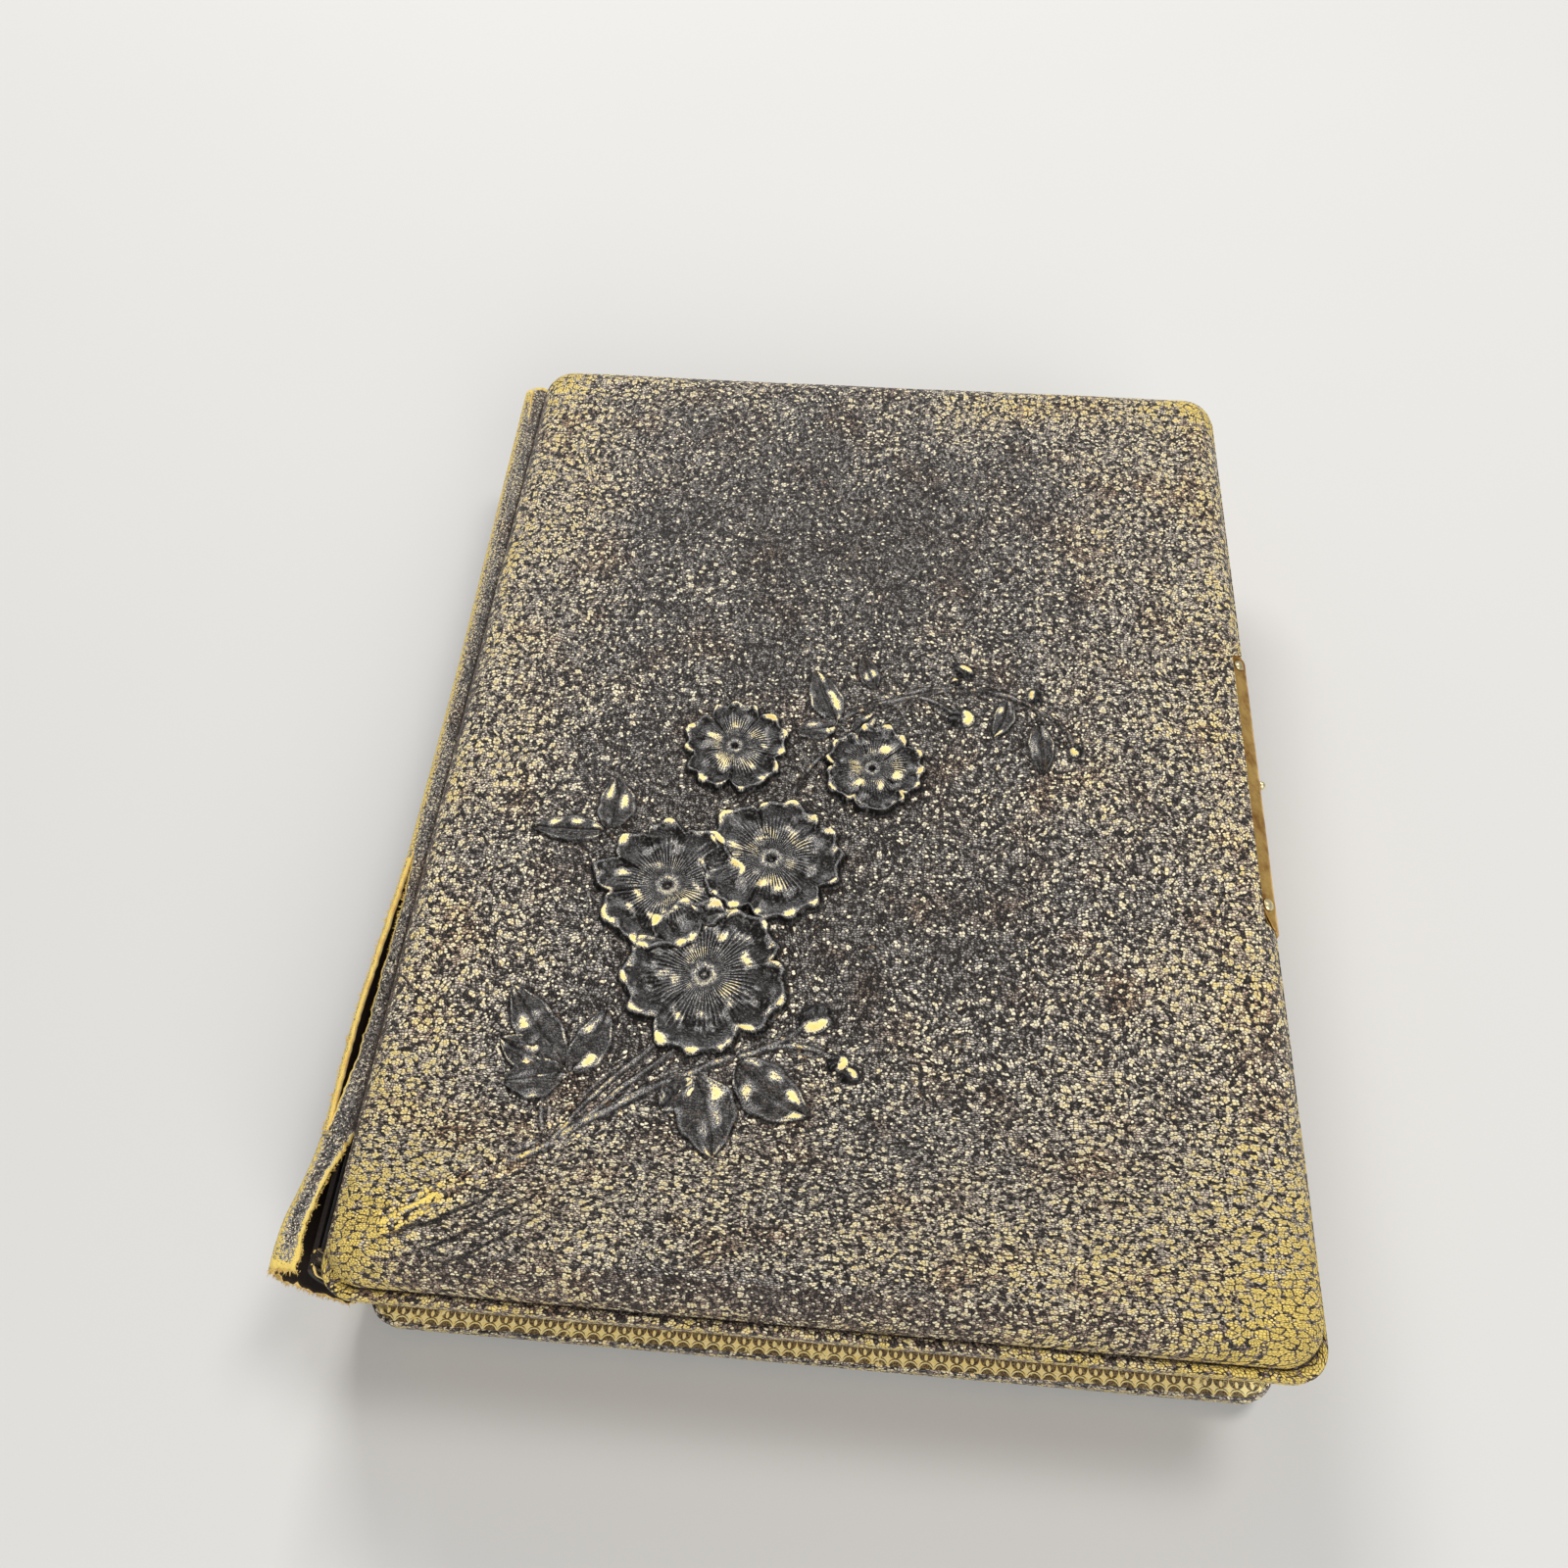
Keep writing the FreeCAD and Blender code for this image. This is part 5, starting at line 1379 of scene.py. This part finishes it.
hingeLook = {"threadsPerMetre": 11000, "dark": "0E0906", "light": "20160F", "slub": "2E2116"}

# node, cover, level of the bend, path across from the block to the cover
hingePaths = {
    "frontHingeCloth": ("front_hinge_cloth", "front_cover", 0.0376,
                        [(-105.2, 28), (-105.2, 33), (-105.2, 36.4), (-104.9, 37.2), (-104.2, 37.66), (-103.2, 37.7),
                         (-102.4, 37.68), (-100, 37.66), (-97, 37.66)]),
    "backHingeCloth": ("back_hinge_cloth", "back_cover", 0.0087,
                       [(-105.2, 18), (-105.2, 13), (-105.2, 9.9), (-104.9, 9.1), (-104.2, 8.66), (-103.2, 8.64),
                        (-102.4, 8.66), (-100, 8.66), (-97, 8.66)]),
}


def clothMaterial():
    # weave: the product of two sine waves, one along each thread
    material, s, shader, place = newMaterial("hingeClothLook", Sheen_Weight=0.2)
    x, y, z = s.axes(place)
    threads = hingeLook["threadsPerMetre"]
    weave = s.math("SINE", (x + z) * threads) * s.math("SINE", y * threads)
    body = s.mix(s.step(weave, -0.6, 0.8), hingeLook["dark"], hingeLook["light"])
    body = s.mix(s.step(s.noise(place, 700), 0.5, 0.8, 0, 0.5), body, hingeLook["slub"])
    s.finish(shader, (body, 0.9, weave), 0.5, 0.0001)
    return material


def makeHingeCloths():
    # cloth that joins the block to each cover: a path across, carried along the block
    material = clothMaterial()
    for name, (node, cover, level, path) in hingePaths.items():
        path = np.array(path)
        lengths = np.concatenate([[0], np.cumsum(np.hypot(*np.diff(path, axis=0).T))])
        y = strip(-125.4, 125.4, 90, 40)[0]
        along = np.linspace(0, lengths[-1], 40)
        fray = 0.25 * drift(along * 3, 0 * y, 401, 3) * np.sign(y) * (np.abs(y) > 125)
        points = place3(np.interp(along, lengths, path[:, 0]), y + fray, np.interp(along, lengths, path[:, 1]))
        cloth = buildMesh(name, *shellParts(points if cover == "front_cover" else points[::-1], 0.25))
        dress(cloth, material, None, "hinge_cloth", node)
        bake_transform(cloth)


makeHingeCloths()
print("hinge cloths made")


# Clasp

plateShape = {
    "span": (-39, 40),
    "slope": ((98, 45.8), (101.7, 43.6)),
    # rounded bend and upright leg
    "leg": [(101.95, 43.92), (102.35, 43.5), (102.66, 43), (102.82, 42.55), (102.88, 42), (102.89, 41.2),
            (102.9, 40.2), (102.9, 39.2), (102.86, 38.45)],
    "brass": 0.75,
    "tipRadius": 4,
    "tipX": 100.3,               # centre of the rounded tip
    "sweep": 8,                  # length of the swept tail end
    "innerLimit": 101.3,         # the inner edge comes no nearer to the bend
    "pinY": (37.8, -32.3),
    "pinX": 100.3,
    "hinge": (102.6, 36.4),
    "knuckles": ((-9.5, -4.5), (4.5, 9.5)),
    "knuckleOuter": 1.2,
    "knuckleInner": 0.66,
}


def knuckleParts(y0, y1):
    # a ring section turned about the hinge line, and the tongue that carries it
    shape = plateShape
    around = 28
    hingeX, hingeZ = shape["hinge"]
    rim, bore = shape["knuckleOuter"], shape["knuckleInner"]
    turn = np.linspace(0, 2 * np.pi, around, endpoint=False)[:, None]
    radius = np.array([bore, rim - 0.15, rim, rim, rim - 0.15, bore])
    reach = np.array([y0, y0, y0 + 0.15, y1 - 0.15, y1, y1])
    loop = place3(hingeX + radius * np.cos(turn), reach, hingeZ + radius * np.sin(turn)).reshape(-1, 3)
    i, j = np.meshgrid(np.arange(around), np.arange(6), indexing="ij")
    near, after = (i + 1) % around, (j + 1) % 6
    quads = np.stack([i * 6 + j, i * 6 + after, near * 6 + after, near * 6 + j], -1).reshape(-1, 4)
    y, z = np.meshgrid(np.linspace(y0, y1, 4), np.linspace(39, 37.3, 5), indexing="ij")
    tongue = place3(102.9 + 0.25 * ease(38.6, 37.4, z), y, z)
    return [(loop, [quads], {"groove": np.zeros(len(loop))}), shellParts(tongue, -shape["brass"], {"groove": 0 * y})]


def makeFrontPlate():
    # the section is a sloping leg with a beaded edge, a rounded bend and an upright leg; its inner edge follows the
    # rounded tip at the head and sweeps out at the tail; dishes take the pins
    shape = plateShape
    low, high = shape["span"]
    rows = 190
    y1 = low + (high - low) * (0.5 - 0.5 * np.cos(np.pi * np.linspace(0, 1, rows)))
    (x0, z0), (x1, z1) = shape["slope"]
    grade = (z1 - z0) / (x1 - x0)
    tip = np.clip(y1 - (high - shape["tipRadius"]), 0, shape["tipRadius"])
    inner = shape["tipX"] - np.sqrt(np.maximum(shape["tipRadius"] ** 2 - tip ** 2, 0.02))
    inner = np.where(tip > 0, np.maximum(inner, x0), x0)
    swept = low + shape["sweep"] - y1
    inner = np.where(swept > 0, np.maximum(inner, x0 - 1 + 4.4 * swept / 9), inner)
    inner = np.minimum(inner, shape["innerLimit"])
    s = np.concatenate([[0, 0.05, 0.11, 0.18, 0.26], np.linspace(0.36, 1, 9)])
    legX, legZ = (np.broadcast_to(column, (rows, len(column))) for column in np.array(shape["leg"]).T)
    y = y1[:, None] * np.ones(len(s) + legX.shape[1])
    x = inner[:, None] + (x1 - inner)[:, None] * s
    z = z0 + grade * (x - x0)
    fromEdge = s * (x1 - inner)[:, None]
    bead = 0.26 * bell(fromEdge, 0.22, 0.2) - 0.10 * bell(fromEdge, 0.75, 0.3)
    ends = np.minimum(high - y1, y1 - low)[:, None]
    bead = bead + 0.12 * ease(0.9, 0.2, ends)
    normal = np.array([-grade, 1]) / math.hypot(grade, 1)
    x, z = x + normal[0] * (bead + 0.4), z + normal[1] * (bead + 0.4)
    x, z = np.concatenate([x, legX], 1), np.concatenate([z, legZ], 1)
    dish = 0 * x
    for pinY in shape["pinY"]:
        apart = np.hypot(y - pinY, (x - shape["pinX"]) * 1.15)
        dish = dish - 0.28 * ease(2.3, 1.2, apart) + 0.10 * bell(apart, 2.45, 0.3)
    x, z = x + normal[0] * dish, z + normal[1] * dish
    z = z + 0.03 * drift(y, x, 501, 13)
    beyond = np.concatenate([fromEdge, np.full(legX.shape, x1)], 1)
    groove = np.clip(-dish * 1.6 + 0.5 * bell(beyond, 0.75, 0.35) + 0.9 * bell(beyond, 0, 0.15), 0, 0.9)
    parts = [shellParts(place3(x, y, z), -shape["brass"], {"groove": groove})]
    for ends in shape["knuckles"]:
        parts += knuckleParts(*ends)
    dress(buildMesh("claspPlate", *joinParts(parts)), agedBrass, "front_cover", "clasp_brass", "clasp_front_plate")


makeFrontPlate()
print("clasp plate made")


# Carried-over parts

for material, nodes in ((brownBoard, "front_board back_board front_padding back_padding"),
                        (liningPaper, "front_lining back_lining"), (spineCard, "spine_liner block_backing"),
                        (agedBrass, "clasp_front_plate clasp_hasp clasp_back_plate clasp_catch"),
                        (brightBrass, "clasp_front_pins clasp_knob clasp_hinge_pin clasp_back_pins")):
    for node in nodes.split():
        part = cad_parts[node]
        part.data.materials.clear()
        part.data.materials.append(material)
print("carried-over parts painted")


# Floor, light and camera

studio = {
    "floor": "D4D2CE",
    "floorDark": "CFCDC9",
    "floorSize": 1600,
    "world": "E4E6EA",
    "worldStrength": 0.34,
    # name, place, aim, size, power
    "lamps": [("skyPanel", (-0.56, 1.52, 1.25), (0, 0, 0.03), (0.8, 0.48), 25),
              ("topPanel", (0.56, 0.48, 1.6), (0, -0.03, 0.03), (0.48, 0.48), 11),
              ("fillPanel", (0.64, -1.52, 1.2), (0, 0, 0.03), (1.28, 1.28), 24)],
    "lens": 29.25,
    "cameraPlace": (0.0026737, -0.1724153, 0.3181204),
    "cameraTurn": (31.24702699, 1.03029311, 4.84212925),
}


def makeFloor():
    size = studio["floorSize"]
    points = np.array([(-size, -size, -0.05), (size, -size, -0.05), (size, size, -0.05), (-size, size, -0.05)])
    floor = buildMesh("studioFloor", points, [np.array([[0, 1, 2, 3]])], smooth=False)
    material, s, shader, place = newMaterial("floorPaper", Specular_IOR_Level=0.2, Roughness=0.8)
    s.fill(shader, Base_Color=s.mix(s.noise(place, 3), studio["floorDark"], studio["floor"]))
    floor.data.materials.append(material)


def makeLamp(name, place, aim, size, power):
    data = bpy.data.lights.new(name, "AREA")
    data.shape = "RECTANGLE"
    data.size, data.size_y = size
    data.energy = power
    lamp = bpy.data.objects.new(name, data)
    scene.collection.objects.link(lamp)
    direction = np.array(aim) - np.array(place)
    down = math.acos(max(-1, min(1, -direction[2] / np.linalg.norm(direction))))
    lamp.location = place
    lamp.rotation_euler = Euler((down, 0, math.atan2(direction[1], direction[0]) - math.pi / 2))


def makeStudio():
    world = bpy.data.worlds.new("studioWorld")
    world.use_nodes = True
    NodeSheet(world.node_tree).fill(world.node_tree.nodes["Background"], Color=studio["world"],
                                    Strength=studio["worldStrength"])
    scene.world = world
    for numbers in studio["lamps"]:
        makeLamp(*numbers)
    data = bpy.data.cameras.new("photoCamera")
    data.lens = studio["lens"]
    data.sensor_width = 36
    data.clip_start = 0.01
    camera = bpy.data.objects.new("photoCamera", data)
    camera.location = studio["cameraPlace"]
    camera.rotation_euler = Euler([math.radians(a) for a in studio["cameraTurn"]])
    scene.collection.objects.link(camera)
    scene.camera = camera
    scene.view_settings.view_transform = "Standard"


makeFloor()
makeStudio()
print("studio made")
